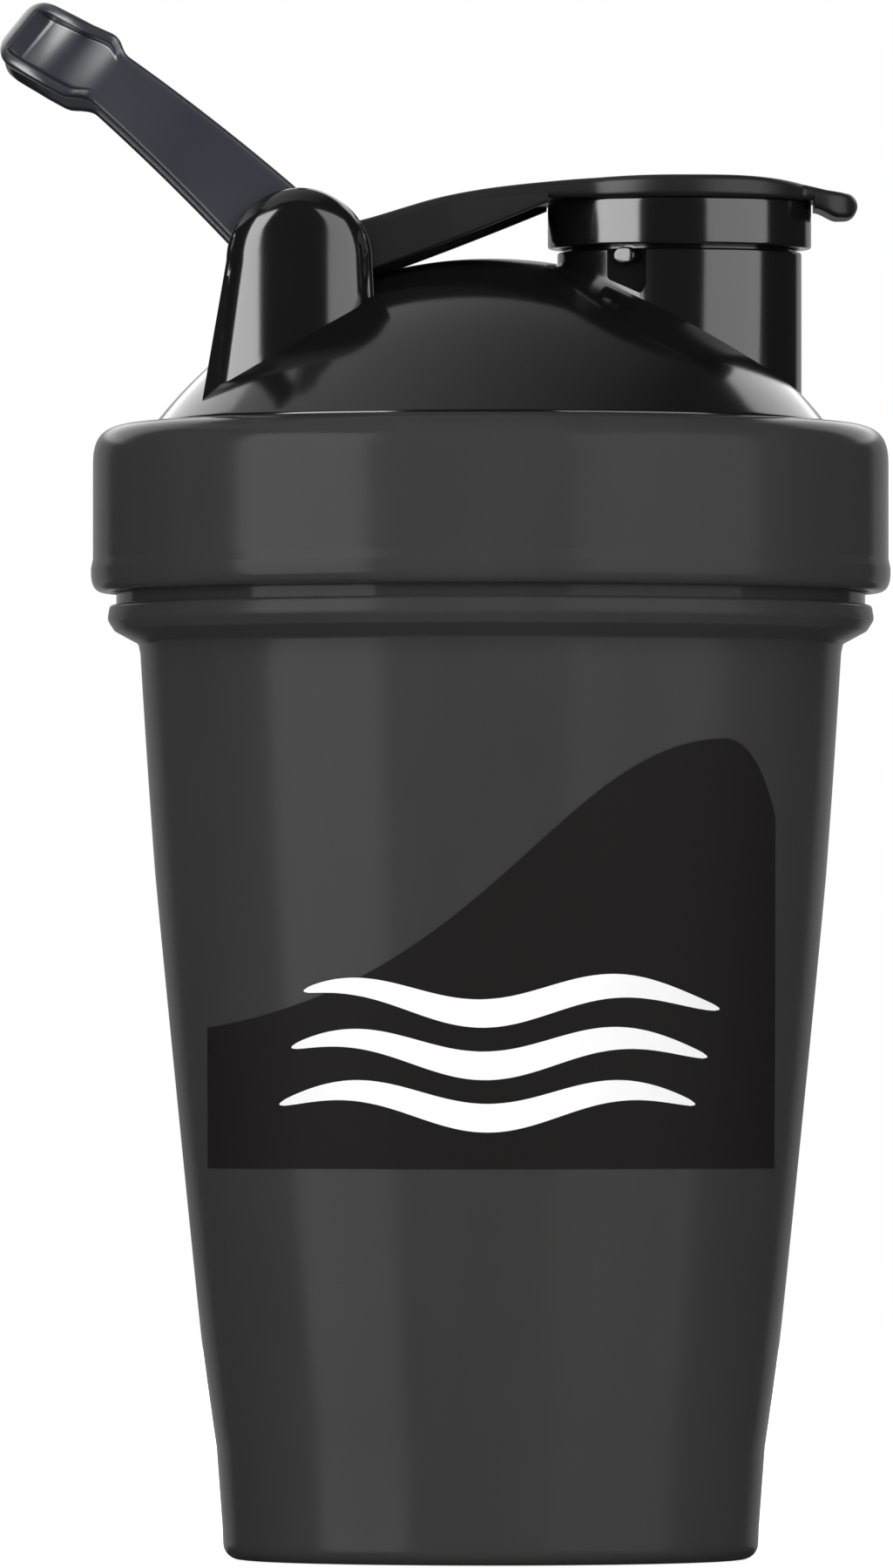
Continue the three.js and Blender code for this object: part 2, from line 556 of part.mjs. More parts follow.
function makeArm() {
  const top = plateTopLine().getPoints(20);
  const reach = PLATE_RADIUS * 2;
  const tabEnd = SPOUT_X + TAB_REACH;
  const tabLow = TAB_TOP - TAB_DROP;
  const skirtEnd = SPOUT_X + CAP_RADIUS + RUN_GAP;

  // Side view of the plate and tab.
  const side = new THREE.Shape(top);
  side.quadraticCurveTo(tabEnd, TAB_TOP - TAB_DROP * 0.17, tabEnd, TAB_TOP - TAB_DROP * 0.57);
  side.quadraticCurveTo(tabEnd, tabLow, tabEnd - TAB_NOSE, tabLow);
  side.lineTo(skirtEnd, tabLow);
  side.lineTo(skirtEnd, PLATE_UNDERSIDE);
  side.lineTo(SPOUT_X - CAP_RADIUS, PLATE_UNDERSIDE);
  side.lineTo(ARM_BEND_X, ARM_BEND_TOP - PLATE_EDGE);
  side.lineTo(ARM_ROOT_X, ARM_ROOT_TOP - PLATE_EDGE);

  // Seen from above: a broad strap, the disc over the spout and the tab beyond it.
  const strap = new THREE.Shape();
  strap.moveTo(HINGE_X, -ARM_HALF_WIDTH);
  strap.lineTo(SPOUT_X, -ARM_HALF_WIDTH);
  strap.lineTo(SPOUT_X, ARM_HALF_WIDTH);
  strap.lineTo(HINGE_X, ARM_HALF_WIDTH);
  const tab = new THREE.Shape();
  const round = TAB_HALF_WIDTH * 0.6;
  tab.moveTo(SPOUT_X, -TAB_HALF_WIDTH);
  tab.lineTo(tabEnd - round, -TAB_HALF_WIDTH);
  tab.quadraticCurveTo(tabEnd, -TAB_HALF_WIDTH, tabEnd, -TAB_HALF_WIDTH + round);
  tab.lineTo(tabEnd, TAB_HALF_WIDTH - round);
  tab.quadraticCurveTo(tabEnd, TAB_HALF_WIDTH, tabEnd - round, TAB_HALF_WIDTH);
  tab.lineTo(SPOUT_X, TAB_HALF_WIDTH);
  const low = HINGE_Z - 10;
  const high = PLATE_TOP + 5;
  const outline = join(
    plan(strap, low, high),
    plan(tab, low, high, 6),
    ring(0, PLATE_RADIUS, low, high, SMALL_STEPS, SPOUT_X),
  );
  const plate = slab(side, -reach, reach, 5).intersect(outline);

  // Two side ribs that run from the barrel to the cap.
  const rib = new THREE.Shape();
  const ribEnd = SPOUT_X - CAP_RADIUS - RUN_GAP;
  rib.moveTo(HINGE_X + BARREL_RADIUS * 0.4, HINGE_Z - BARREL_RADIUS * 0.9);
  rib.quadraticCurveTo(
    HINGE_X + RIB_BELLY,
    HINGE_Z + RIB_BELLY_RISE,
    ribEnd,
    PLATE_UNDERSIDE - RIB_END,
  );
  rib.lineTo(ribEnd, PLATE_UNDERSIDE + PLATE_EDGE / 2);
  rib.lineTo(ARM_BEND_X, ARM_BEND_TOP - PLATE_EDGE * 0.4);
  rib.lineTo(ARM_ROOT_X, ARM_ROOT_TOP - PLATE_EDGE * 0.15);
  rib.lineTo(HINGE_X - BARREL_RADIUS * 0.27, HINGE_Z + BARREL_RADIUS * 0.9);
  const ribs = [
    slab(rib, ARM_HALF_WIDTH - ARM_RIB, ARM_HALF_WIDTH, 6),
    slab(rib, -ARM_HALF_WIDTH, -ARM_HALF_WIDTH + ARM_RIB, 6),
  ];
  // A web that closes the arm between its plate and its barrel.
  const web = new THREE.Shape();
  web.moveTo(HINGE_X, HINGE_Z + BARREL_RADIUS * 0.4);
  web.lineTo(ARM_ROOT_X + ARM_ROOT_OVERLAP, ARM_ROOT_TOP - PLATE_EDGE * 0.8);
  web.lineTo(ARM_ROOT_X + ARM_ROOT_OVERLAP, ARM_ROOT_TOP + PLATE_EDGE * 0.1);
  web.lineTo(HINGE_X, HINGE_Z + BARREL_RADIUS * 0.95);
  const root = slab(web, -ARM_HALF_WIDTH, ARM_HALF_WIDTH, 2);
  const barrel = crossBar(BARREL_RADIUS, HINGE_X, HINGE_Z, -ARM_HALF_WIDTH, ARM_HALF_WIDTH);
  const bore = crossBar(PIN_BORE, HINGE_X, HINGE_Z, -reach, reach, 16);
  const arm = join(plate, ...ribs, root, barrel).subtract(bore);
  return piece('flip_cap_arm', arm, { color: 0x323236, roughness: 0.38, metalness: 0 });
}

function makeSpoutCap() {
  const skirtLow = SPOUT_SHOULDER + CAP_SHOULDER_GAP;
  const edge = 0.4;
  const plugOuter = SPOUT_BORE - PLUG_GAP;
  const plugLow = CAP_CEILING - PLUG_DEPTH;
  const cap = turned(
    [
      vec(0, CAP_HEIGHT),
      vec(CAP_RADIUS - edge, CAP_HEIGHT),
      vec(CAP_RADIUS, CAP_HEIGHT - edge),
      vec(CAP_RADIUS, skirtLow),
      vec(CAP_BORE, skirtLow),
      vec(CAP_BORE, CAP_CEILING),
      vec(plugOuter, CAP_CEILING),
      vec(plugOuter, plugLow + edge),
      vec(plugOuter - edge, plugLow),
      vec(plugOuter - PLUG_WALL, plugLow),
      vec(plugOuter - PLUG_WALL, CAP_CEILING),
      vec(0, CAP_CEILING),
    ],
    SMALL_STEPS,
    SPOUT_X,
  );
  return piece('spout_cap', cap, { color: 0x17171a, roughness: 0.14, metalness: 0 });
}

// ---------------------------------------------------------------- carry loop and pin

// The loop is drawn lying along +X from the hinge and then swung up to its resting angle.
function makeLoop() {
  const wide = new THREE.Shape();
  const corner = LOOP_CORNER;
  wide.moveTo(0, -LOOP_OUTER_Y);
  wide.lineTo(LOOP_REACH - corner, -LOOP_OUTER_Y);
  wide.absarc(LOOP_REACH - corner, -LOOP_OUTER_Y + corner, corner, -Math.PI / 2, 0, false);
  wide.absarc(LOOP_REACH - corner, LOOP_OUTER_Y - corner, corner, 0, Math.PI / 2, false);
  wide.lineTo(0, LOOP_OUTER_Y);
  wide.lineTo(0, LOOP_INNER_Y);
  const innerCorner = corner - LOOP_WALL;
  const innerEnd = LOOP_REACH - corner;
  wide.absarc(innerEnd, LOOP_INNER_Y - innerCorner, innerCorner, Math.PI / 2, 0, true);
  wide.absarc(innerEnd, -LOOP_INNER_Y + innerCorner, innerCorner, 0, -Math.PI / 2, true);
  wide.lineTo(0, -LOOP_INNER_Y);

  // Side view: a strap that narrows away from the hinge and ends in a taller grip.
  // After the swing up, this view's lower side is the loop's upper side.
  const strap = new THREE.Shape();
  const pad = LOOP_PAD_START;
  const tip = LOOP_REACH;
  strap.moveTo(0, LOOP_ROOT);
  strap.quadraticCurveTo(pad * 0.5, STRAP_BELOW + 0.9, pad, STRAP_BELOW);
  strap.lineTo(pad + LOOP_PAD_STEP, GRIP_BELOW);
  strap.lineTo(tip - LOOP_CORNER / 2, TIP_BELOW);
  strap.quadraticCurveTo(tip - 0.4, TIP_BELOW, tip, 0);
  strap.quadraticCurveTo(tip + 0.2, 0.8 - TIP_ABOVE, tip - LOOP_CORNER * 0.375, -TIP_ABOVE);
  strap.lineTo(pad + LOOP_PAD_STEP * 1.3, -GRIP_ABOVE);
  strap.lineTo(pad, -STRAP_ABOVE);
  strap.quadraticCurveTo(pad * 0.5, -STRAP_ABOVE - 0.8, pad * 0.18, -STRAP_ABOVE - 0.5);
  strap.lineTo(0, -LOOP_ROOT);
  const height = 12;
  const band = plan(wide, -height, height, 6).intersect(slab(strap, -LOOP_REACH, LOOP_REACH, 5));
  const eyes = [
    crossBar(LOOP_EYE_RADIUS, 0, 0, LOOP_INNER_Y, LOOP_OUTER_Y),
    crossBar(LOOP_EYE_RADIUS, 0, 0, -LOOP_OUTER_Y, -LOOP_INNER_Y),
  ];
  const bore = crossBar(PIN_BORE, 0, 0, -LOOP_REACH, LOOP_REACH, 16);
  const loop = piece('carry_loop', join(band, ...eyes).subtract(bore), {
    color: 0x3f3f4c,
    roughness: 0.36,
    metalness: 0,
  });
  loop.rotation.y = -LOOP_ANGLE;
  loop.position.set(HINGE_X, 0, HINGE_Z);
  return loop;
}

function makePin() {
  const half = EAR_INNER_Y + PIN_SOCKET - 0.3;
  const pin = crossBar(PIN_RADIUS, HINGE_X, HINGE_Z, -half, half, 16);
  return piece('hinge_pin', pin, { color: 0xa8abb0, roughness: 0.3, metalness: 1 });
}

// ---------------------------------------------------------------- whisk ball

// A wire wound on a sphere from pole to pole.
class BallSpiral extends THREE.Curve {
  getPoint(t, target = new THREE.Vector3()) {
    const radius = WHISK_RADIUS - WIRE_RADIUS;
    const polar = Math.PI - WHISK_POLE - (Math.PI - 2 * WHISK_POLE) * t;
    const around = WHISK_TURNS * 2 * Math.PI * t;
    return target.set(
      radius * Math.sin(polar) * Math.cos(around),
      radius * Math.sin(polar) * Math.sin(around),
      radius * Math.cos(polar),
    );
  }
}

function makeWhisk() {
  const outline = new THREE.Shape();
  outline.absarc(0, 0, WIRE_RADIUS, 0, 2 * Math.PI, false);
  const geometry = new THREE.ExtrudeGeometry(outline, {
    steps: WHISK_TURNS * WIRE_STEPS,
    curveSegments: 3,
    extrudePath: new BallSpiral(),
    bevelEnabled: false,
  });
  const whisk = piece('whisk_ball', solid(geometry), {
    color: 0xc9ccd0,
    roughness: 0.2,
    metalness: 1,
  });
  whisk.position.set(0, 0, CUP_FLOOR + SEAT_GAP + WHISK_RADIUS);
  return whisk;
}

// ---------------------------------------------------------------- assembly

const shaker = new THREE.Group();
const cupGroup = new THREE.Group();
const lidGroup = new THREE.Group();
const capGroup = new THREE.Group();
cupGroup.add(makeCup(), makeLabel(), makeWhisk());
capGroup.add(makeArm(), makeSpoutCap());
lidGroup.add(makeCollar(), makeSeal(), makeDome(), makePin(), makeLoop(), capGroup);
shaker.add(cupGroup, lidGroup);

export default shaker;
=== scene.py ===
"""Protein shaker bottle: the visible shells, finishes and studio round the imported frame.

Lengths in this file are millimetres unless a name says otherwise. They become metres when a
mesh is made. +Z is up, +X is towards the spout and -Y faces the camera.
"""

from contextlib import contextmanager
from math import acos, asin, cos, pi, radians, sin, sqrt, tan
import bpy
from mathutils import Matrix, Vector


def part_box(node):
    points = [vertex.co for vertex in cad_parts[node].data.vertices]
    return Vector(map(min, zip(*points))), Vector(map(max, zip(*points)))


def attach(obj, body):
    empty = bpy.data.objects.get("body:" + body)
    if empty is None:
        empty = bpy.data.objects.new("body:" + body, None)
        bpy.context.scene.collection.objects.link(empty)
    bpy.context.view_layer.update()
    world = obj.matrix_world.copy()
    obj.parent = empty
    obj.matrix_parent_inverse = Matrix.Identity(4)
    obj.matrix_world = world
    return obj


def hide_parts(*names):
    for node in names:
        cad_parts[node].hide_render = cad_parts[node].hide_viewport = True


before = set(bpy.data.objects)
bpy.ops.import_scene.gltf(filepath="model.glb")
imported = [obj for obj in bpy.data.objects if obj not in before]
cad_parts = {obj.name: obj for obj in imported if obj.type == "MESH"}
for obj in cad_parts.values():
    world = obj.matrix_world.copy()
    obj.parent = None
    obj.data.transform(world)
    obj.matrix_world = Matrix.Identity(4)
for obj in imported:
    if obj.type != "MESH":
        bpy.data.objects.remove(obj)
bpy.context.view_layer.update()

from types import SimpleNamespace

import bmesh
import bpy
import numpy as np
from bpy.props import FloatProperty, FloatVectorProperty, IntProperty, PointerProperty
from mathutils import Vector

bl_info = {
    "name": "Shaker bottle",
    "version": (1, 0, 0),
    "blender": (4, 5, 0),
    "location": "View3D > Sidebar > Shaker",
    "description": "Builds the shells, finishes and studio of a protein shaker bottle",
    "category": "Mesh",
}

MM = 0.001
TINY = 1e-6


# ---------------------------------------------------------------- places taken from the frame

def span(node):
    """Lowest and highest corner of a frame node, in millimetres."""
    low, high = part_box(node)
    return low / MM, high / MM


def middle(node):
    """Centre of a frame node's box, in millimetres."""
    low, high = span(node)
    return (low + high) / 2


FLANGE_RADIUS = span("cup_body")[1].x
RIM = span("cup_body")[1].z
COLLAR_LOW = span("lid_collar")[0].z
COLLAR_TOP = span("lid_collar")[1].z
BEAD_RADIUS = span("lid_collar")[1].x
SEAL_LOW = span("lid_seal_ring")[0].z
SEAL_TOP = span("lid_seal_ring")[1].z
SEAL_RADIUS = span("lid_seal_ring")[1].x
DOME_LOW = span("lid_dome")[0].z
DOME_FLANGE_RADIUS = span("lid_dome")[1].y
SPOUT_X = middle("spout_cap").x
CAP_LOW = span("spout_cap")[0].z
CAP_TOP = span("spout_cap")[1].z
CAP_RADIUS = span("spout_cap")[1].y
PLATE_RADIUS = span("flip_cap_arm")[1].y
PLATE_TOP = span("flip_cap_arm")[1].z
TAB_END = span("flip_cap_arm")[1].x
HINGE_X = middle("hinge_pin").x
HINGE_Z = middle("hinge_pin").z
PIN_HALF = span("hinge_pin")[1].y
LOOP_OUTER_Y = span("carry_loop")[1].y
LABEL_LOW, LABEL_HIGH = span("front_label")
WHISK_CENTRE = middle("whisk_ball")

# Places that the frame's boxes don't give, by their distance from those that they do.
FLANGE_REACH = 2.5
SHOULDER_STEP = 1.6
SHOULDER_DROP = 22.6
FLANGE_RISE = 6.0
BEAD_REACH = 0.25
COLLAR_CEILING = 1.9
DOME_RISE = 1.0
SPOUT_RISE = 4.9
PIN_PLAY = 0.1
NECK_RADIUS = FLANGE_RADIUS - FLANGE_REACH
SHOULDER_RADIUS = NECK_RADIUS - SHOULDER_STEP
SHOULDER = RIM - SHOULDER_DROP
FLANGE_TOP = SHOULDER + FLANGE_RISE
COLLAR_RADIUS = BEAD_RADIUS - BEAD_REACH
DOME_TOP = HINGE_Z + DOME_RISE
SPOUT_TOP = DOME_TOP + SPOUT_RISE


# ---------------------------------------------------------------- sizes and colours

def length(name, description, millimetres):
    """A length property whose default is given in millimetres."""
    return FloatProperty(
        name=name, description=description, default=millimetres * MM, min=0.0, unit="LENGTH"
    )


def turn(name, description, degrees):
    """An angle property whose default is given in degrees."""
    return FloatProperty(
        name=name, description=description, default=radians(degrees), unit="ROTATION"
    )


def tint(name, description, red, green, blue):
    """A colour property."""
    return FloatVectorProperty(
        name=name,
        description=description,
        default=(red, green, blue),
        min=0.0,
        max=1.0,
        subtype="COLOR",
    )


class CupSizes(bpy.types.PropertyGroup):
    """Sizes of the cup, its thread and the marks on its back."""

    foot_radius: length("Foot radius", "Outer radius of the foot", 33.2)
    foot_height: length("Foot height", "Height of the near-vertical foot", 14.0)
    foot_flare: length("Foot flare", "How much wider the foot is at its top", 0.9)
    wall: length("Wall", "Thickness of the cup's side", 1.6)
    floor: length("Floor", "Thickness of the cup's floor", 2.4)
    grip_low: length("Grip low", "Lower end of the flat at each side", 27.0)
    grip_high: length("Grip high", "Upper end of the flat at each side", 86.0)
    mark_count: IntProperty(name="Marks", description="Raised marks on the back", default=21)
    mark_low: length("Lowest mark", "Height of the lowest mark", 26.0)
    mark_high: length("Highest mark", "Height of the highest mark", 104.0)
    mark_raise: length("Mark height", "How far a mark stands out", 0.35)


class ThreadSizes(bpy.types.PropertyGroup):
    """Sizes of the two-start thread on the cup's neck and in the collar."""

    starts: IntProperty(name="Starts", description="Number of ridges", default=2)
    lead: length("Lead", "Rise in one full turn", 10.0)
    sweep: turn("Sweep", "How far round each ridge runs", 200.0)
    depth: length("Depth", "Height of a ridge", 1.5)
    root: length("Root", "Width of a ridge at the wall", 2.6)
    crest: length("Crest", "Width of a ridge at its top", 1.2)
    cup_rise: length("Cup thread rise", "First ridge above the flange", 6.6)
    collar_drop: length("Collar thread drop", "Collar ridges below the cup's", 2.0)


class LabelSizes(bpy.types.PropertyGroup):
    """Sizes of the front panel and its printed waves."""

    film: length("Film", "Thickness of the printed film", 0.12)
    ink: length("Ink", "Thickness of the ink on the film", 0.06)
    left_top: length("Left top", "Height of the panel's left corner", 66.0)
    right_top: length("Right top", "Height of the panel's right corner", 92.0)
    wave_low: length("Lowest wave", "Height of the lowest printed wave", 56.6)
    wave_pitch: length("Wave pitch", "Distance between printed waves", 6.4)
    wave_swing: length("Wave swing", "How far a wave rises and falls", 1.7)
    wave_width: length("Wave width", "Widest part of a wave's stroke", 3.5)


class LidSizes(bpy.types.PropertyGroup):
    """Sizes of the collar, dome, spout, cap and hinge ears."""

    collar_wall: length("Collar wall", "Thickness of the collar", 2.2)
    dome_radius: length("Dome radius", "Radius of the dome's sphere", 52.7)
    dome_wall: length("Dome wall", "Thickness of the dome", 1.8)
    spout_bore: length("Spout bore", "Radius of the drinking hole", 12.3)
    spout_wall: length("Spout wall", "Thickness of the spout's neck", 1.9)
    ear_radius: length("Ear radius", "Radius of an ear's head", 9.0)
    ear_outer: length("Ear reach", "Middle of an ear's outer face from the centre", 21.8)
    ear_wall: length("Ear wall", "Thickness of an ear at its middle", 4.8)
    ear_crown: length("Ear crown", "Radius of an ear's outer face, seen from above", 16.5)
    ear_round: length("Ear rounding", "Rounding of an ear's outer edge", 3.2)
    pin_radius: length("Pin radius", "Radius of the hinge pin", 1.5)
    nub_angle: turn("Nub angle", "Snap nubs, from the sides towards the hinge", 26.0)
    nub_width: length("Nub half width", "Half the width of a snap nub", 1.45)
    nub_height: length("Nub half height", "Half the height of a snap nub", 1.05)


class CapSizes(bpy.types.PropertyGroup):
    """Sizes of the flip cap's arm, tab and plug."""

    half_width: length("Arm half width", "Half the width of the arm", 13.6)
    rib: length("Rib", "Thickness of the arm's side ribs", 1.8)
    barrel_radius: length("Barrel radius", "Radius of the arm's hinge barrel", 3.8)
    tab_half_width: length("Tab half width", "Half the width of the thumb tab", 7.5)
    edge: length("Edge", "Rounding of the arm's edges", 0.8)
    skirt_wall: length("Skirt wall", "Thickness of the cap's skirt", 1.4)
    cap_top: length("Cap top", "Thickness of the cap's top", 1.6)
    plug_wall: length("Plug wall", "Thickness of the plug", 1.5)
    plug_depth: length("Plug depth", "How far the plug reaches into the spout", 3.3)


class LoopSizes(bpy.types.PropertyGroup):
    """Sizes of the carry loop."""

    angle: turn("Angle", "Direction of the loop from the hinge", 141.0)
    reach: length("Reach", "Hinge to the loop's far end", 46.2)
    wall: length("Wall", "Thickness of the loop's grip", 2.8)
    corner: length("Corner", "Outer corner radius seen from above", 8.0)
    pad_start: length("Grip start", "Where the wide grip begins", 33.0)
    rim: length("Rim", "Width of the raised rim round the grip", 1.3)
    recess: length("Recess", "Depth of the grip's recess", 0.8)
    scoop: length("Scoop", "How much the recess dips towards the loop's end", 1.1)
    tip_round: length("Tip rounding", "Rounding of the far end, seen from the side", 2.5)
    eye_radius: length("Eye radius", "Radius of the loop's hinge eyes", 4.8)


class WhiskSizes(bpy.types.PropertyGroup):
    """Sizes of the wire whisk ball."""

    radius: length("Radius", "Outer radius of the ball", 24.0)
    wire: length("Wire", "Radius of the wire", 1.2)
    turns: FloatProperty(name="Turns", description="Windings of the wire", default=8.0)
    pole: turn("Pole", "Angle from the axis at which the wire ends", 13.75)


class Colours(bpy.types.PropertyGroup):
    """Colours of the finishes."""

    cup: tint("Cup", "Satin plastic of the cup", 0.0385, 0.0378, 0.0376)
    collar: tint("Collar", "Satin plastic of the collar", 0.0370, 0.0367, 0.0370)
    dome: tint("Dome", "Glossy plastic of the dome and cap", 0.0062, 0.0060, 0.0064)
    arm: tint("Arm", "Satin plastic of the flip cap's arm", 0.0105, 0.0104, 0.0112)
    loop: tint("Loop", "Slate plastic of the carry loop", 0.0150, 0.0158, 0.0250)
    label: tint("Label", "Printed panel", 0.0125, 0.0106, 0.0110)
    ink: tint("Ink", "Printed waves", 0.86, 0.86, 0.86)
    seal: tint("Seal", "Silicone ring", 0.36, 0.37, 0.38)
    steel: tint("Steel", "Whisk wire and hinge pin", 0.62, 0.63, 0.64)


GROUPS = {
    "cup": CupSizes,
    "thread": ThreadSizes,
    "label": LabelSizes,
    "lid": LidSizes,
    "cap": CapSizes,
    "loop": LoopSizes,
    "whisk": WhiskSizes,
    "colours": Colours,
}


class ShakerSettings(bpy.types.PropertyGroup):
    """Everything that can be set on the shaker."""

    cup: PointerProperty(type=CupSizes)
    thread: PointerProperty(type=ThreadSizes)
    label: PointerProperty(type=LabelSizes)
    lid: PointerProperty(type=LidSizes)
    cap: PointerProperty(type=CapSizes)
    loop: PointerProperty(type=LoopSizes)
    whisk: PointerProperty(type=WhiskSizes)
    colours: PointerProperty(type=Colours)


def sizes_of(context, group):
    """A group's values as plain names, with every length in millimetres."""
    settings = getattr(context.scene.shaker, group)
    values = {}
    for prop in settings.bl_rna.properties:
        if prop.identifier in ("rna_type", "name"):
            continue
        value = getattr(settings, prop.identifier)
        is_length = getattr(prop, "unit", "NONE") == "LENGTH"
        values[prop.identifier] = value / MM if is_length else value
    return SimpleNamespace(**values)


# ---------------------------------------------------------------- outlines

LONGEST_ROUNDING = 0.48  # share of a side that the rounding of one corner may use
NEARLY_STRAIGHT = radians(89)
STRAIGHT_SPREAD = 0.15
SUPPORT = 0.5  # how far from a corner a supporting point stands


def rounded(corners, steps=5, closed=True):
    """Points of an outline whose (a, b, radius) corners are rounded. An open one keeps its ends."""
    points = []
    count = len(corners)
    for i, (a, b, radius) in enumerate(corners):
        here = Vector((a, b))
        at_end = not closed and i in (0, count - 1)
        if at_end or radius <= 0:
            points.append((a, b))
            continue
        back = Vector(corners[i - 1][:2]) - here
        ahead = Vector(corners[(i + 1) % count][:2]) - here
        reach = LONGEST_ROUNDING * min(back.length, ahead.length)
        back.normalize()
        ahead.normalize()
        half = acos(max(-1.0, min(1.0, back.dot(ahead)))) / 2
        if half > NEARLY_STRAIGHT:
            spread = min(STRAIGHT_SPREAD, reach)
            for k in range(steps + 1):
                share = k / steps
                along = back * spread * (1 - share) + ahead * spread * share
                points.append(tuple(here + along))
            continue
        run = min(radius / tan(half), reach)
        radius = run * tan(half)
        centre = here + (back + ahead).normalized() * (radius / sin(half))
        first = here + back * run - centre
        last = here + ahead * run - centre
        whole = pi - 2 * half
        for k in range(steps + 1):
            share = k / steps
            weight_a = sin((1 - share) * whole) / sin(whole)
            weight_b = sin(share * whole) / sin(whole)
            points.append(tuple(centre + first * weight_a + last * weight_b))
    return points


def supported(points):
    """The open outline with a point near both ends of every long straight run, for its shading."""
    result = []
    for here, there in zip(points, points[1:]):
        result.append(here)
        a, b = Vector(here), Vector(there)
        if (b - a).length > 4 * SUPPORT:
            step = (b - a).normalized() * SUPPORT
            result += [tuple(a + step), tuple(b - step)]
    return result + [points[-1]]


def bezier(*controls, steps=12):
    """Points of a Bezier curve through its first and last control point."""
    points = []
    for k in range(steps + 1):
        t = k / steps
        level = [Vector(c) for c in controls]
        while len(level) > 1:
            level = [a.lerp(b, t) for a, b in zip(level, level[1:])]
        points.append(tuple(level[0]))
    return points


def arc(centre, radius, start, end, steps=12):
    """Points of a circular arc between two angles in degrees."""
    angles = np.radians(np.linspace(start, end, steps + 1))
    return [(centre[0] + radius * cos(a), centre[1] + radius * sin(a)) for a in angles]


def smooth_through(knots, x):
    """Height at x of a smooth curve through the knots, whose slopes come from their neighbours."""
    xs = np.array([k[0] for k in knots])
    zs = np.array([k[1] for k in knots])
    slopes = np.gradient(zs, xs)
    x = min(max(x, xs[0]), xs[-1])
    i = min(int(np.searchsorted(xs, x, side="right")) - 1, len(xs) - 2)
    gap = xs[i + 1] - xs[i]
    t = (x - xs[i]) / gap
    return float(
        (2 * t**3 - 3 * t**2 + 1) * zs[i]
        + (t**3 - 2 * t**2 + t) * gap * slopes[i]
        + (3 * t**2 - 2 * t**3) * zs[i + 1]
        + (t**3 - t**2) * gap * slopes[i + 1]
    )


def eased(x, low, high):
    """0 before low, 1 after high and a smooth rise between."""
    t = min(max((x - low) / (high - low), 0.0), 1.0)
    return t * t * (3 - 2 * t)


def smooth_max(a, b, soft):
    """The larger of two values, with a soft change between them."""
    return (a + b + sqrt((a - b) ** 2 + soft**2)) / 2


# ---------------------------------------------------------------- meshes

def joined_rings(first, second):
    """Faces between two closed rings of vertices, either of which may be a single point."""
    if len(first) == 1 and len(second) == 1:
        return []
    count = max(len(first), len(second))
    faces = []
    for i in range(count):
        j = (i + 1) % count
        if len(first) == 1:
            faces.append((first[0], second[j], second[i]))
        elif len(second) == 1:
            faces.append((first[i], first[j], second[0]))
        else:
            faces.append((first[i], first[j], second[j], second[i]))
    return faces


def placed(name, data):
    """A new object in the scene with this data."""
    thing = bpy.data.objects.new(name, data)
    bpy.context.scene.collection.objects.link(thing)
    return thing


@contextmanager
def opened(mesh):
    """The mesh as a bmesh, which is written back at the end."""
    shape = bmesh.new()
    shape.from_mesh(mesh)
    yield shape
    shape.to_mesh(mesh)
    shape.free()


def new_piece(name, points, faces):
    """A mesh object from points in millimetres, with its faces turned outwards."""
    mesh = bpy.data.meshes.new(name)
    mesh.from_pydata([(x * MM, y * MM, z * MM) for x, y, z in points], [], faces)
    with opened(mesh) as shape:
        bmesh.ops.remove_doubles(shape, verts=shape.verts, dist=1e-7)
        bmesh.ops.recalc_face_normals(shape, faces=shape.faces)
        if shape.calc_volume(signed=True) < 0:
            bmesh.ops.reverse_faces(shape, faces=shape.faces)
    return placed(name, mesh)


def skinned(name, rings, closed=False):
    """A solid skinned over rings of points; open ends are capped."""
    points = []
    indices = []
    for ring in rings:
        indices.append(list(range(len(points), len(points) + len(ring))))
        points.extend(ring)
    faces = []
    for first, second in zip(indices, indices[1:]):
        faces.extend(joined_rings(first, second))
    if closed:
        faces.extend(joined_rings(indices[-1], indices[0]))
    else:
        faces.extend(tuple(ring) for ring in (indices[0], indices[-1]) if len(ring) > 2)
    return new_piece(name, points, faces)


def lathe_rings(outline, steps, put):
    """Rings of a (radius, along) outline; put gives the place of two offsets and a length along."""
    angles = np.linspace(0, 2 * pi, steps, endpoint=False)
    rings = []
    for radius, along in outline:
        needed = angles[:1] if radius < TINY else angles
        rings.append([put(radius * cos(a), radius * sin(a), along) for a in needed])
    return rings


def turned(name, outline, steps=192, x=0.0, closed=False):
    """A (radius, height) outline turned about the upright axis at x."""
    rings = lathe_rings(outline, steps, lambda a, b, along: (x + a, b, along))
    return skinned(name, rings, closed)


def turned_across(name, outline, x, z, steps=64):
    """A (radius, y) outline turned about an axis along Y at (x, z)."""
    return skinned(name, lathe_rings(outline, steps, lambda a, b, along: (x + a, along, z + b)))


def round_bar(name, radius, low, high, x, z, edge=0.3, steps=64):
    """A round bar along Y with rounded ends."""
    corners = [(0, low, 0), (radius, low, edge), (radius, high, edge), (0, high, 0)]
    return turned_across(name, supported(rounded(corners, 4, closed=False)), x, z, steps)


def applied(piece):
    """Makes the piece's evaluated shape its plain mesh, with no modifiers, and returns the mesh."""
    depsgraph = bpy.context.evaluated_depsgraph_get()
    mesh = bpy.data.meshes.new_from_object(piece.evaluated_get(depsgraph), depsgraph=depsgraph)
    piece.modifiers.clear()
    piece.data = mesh
    return mesh


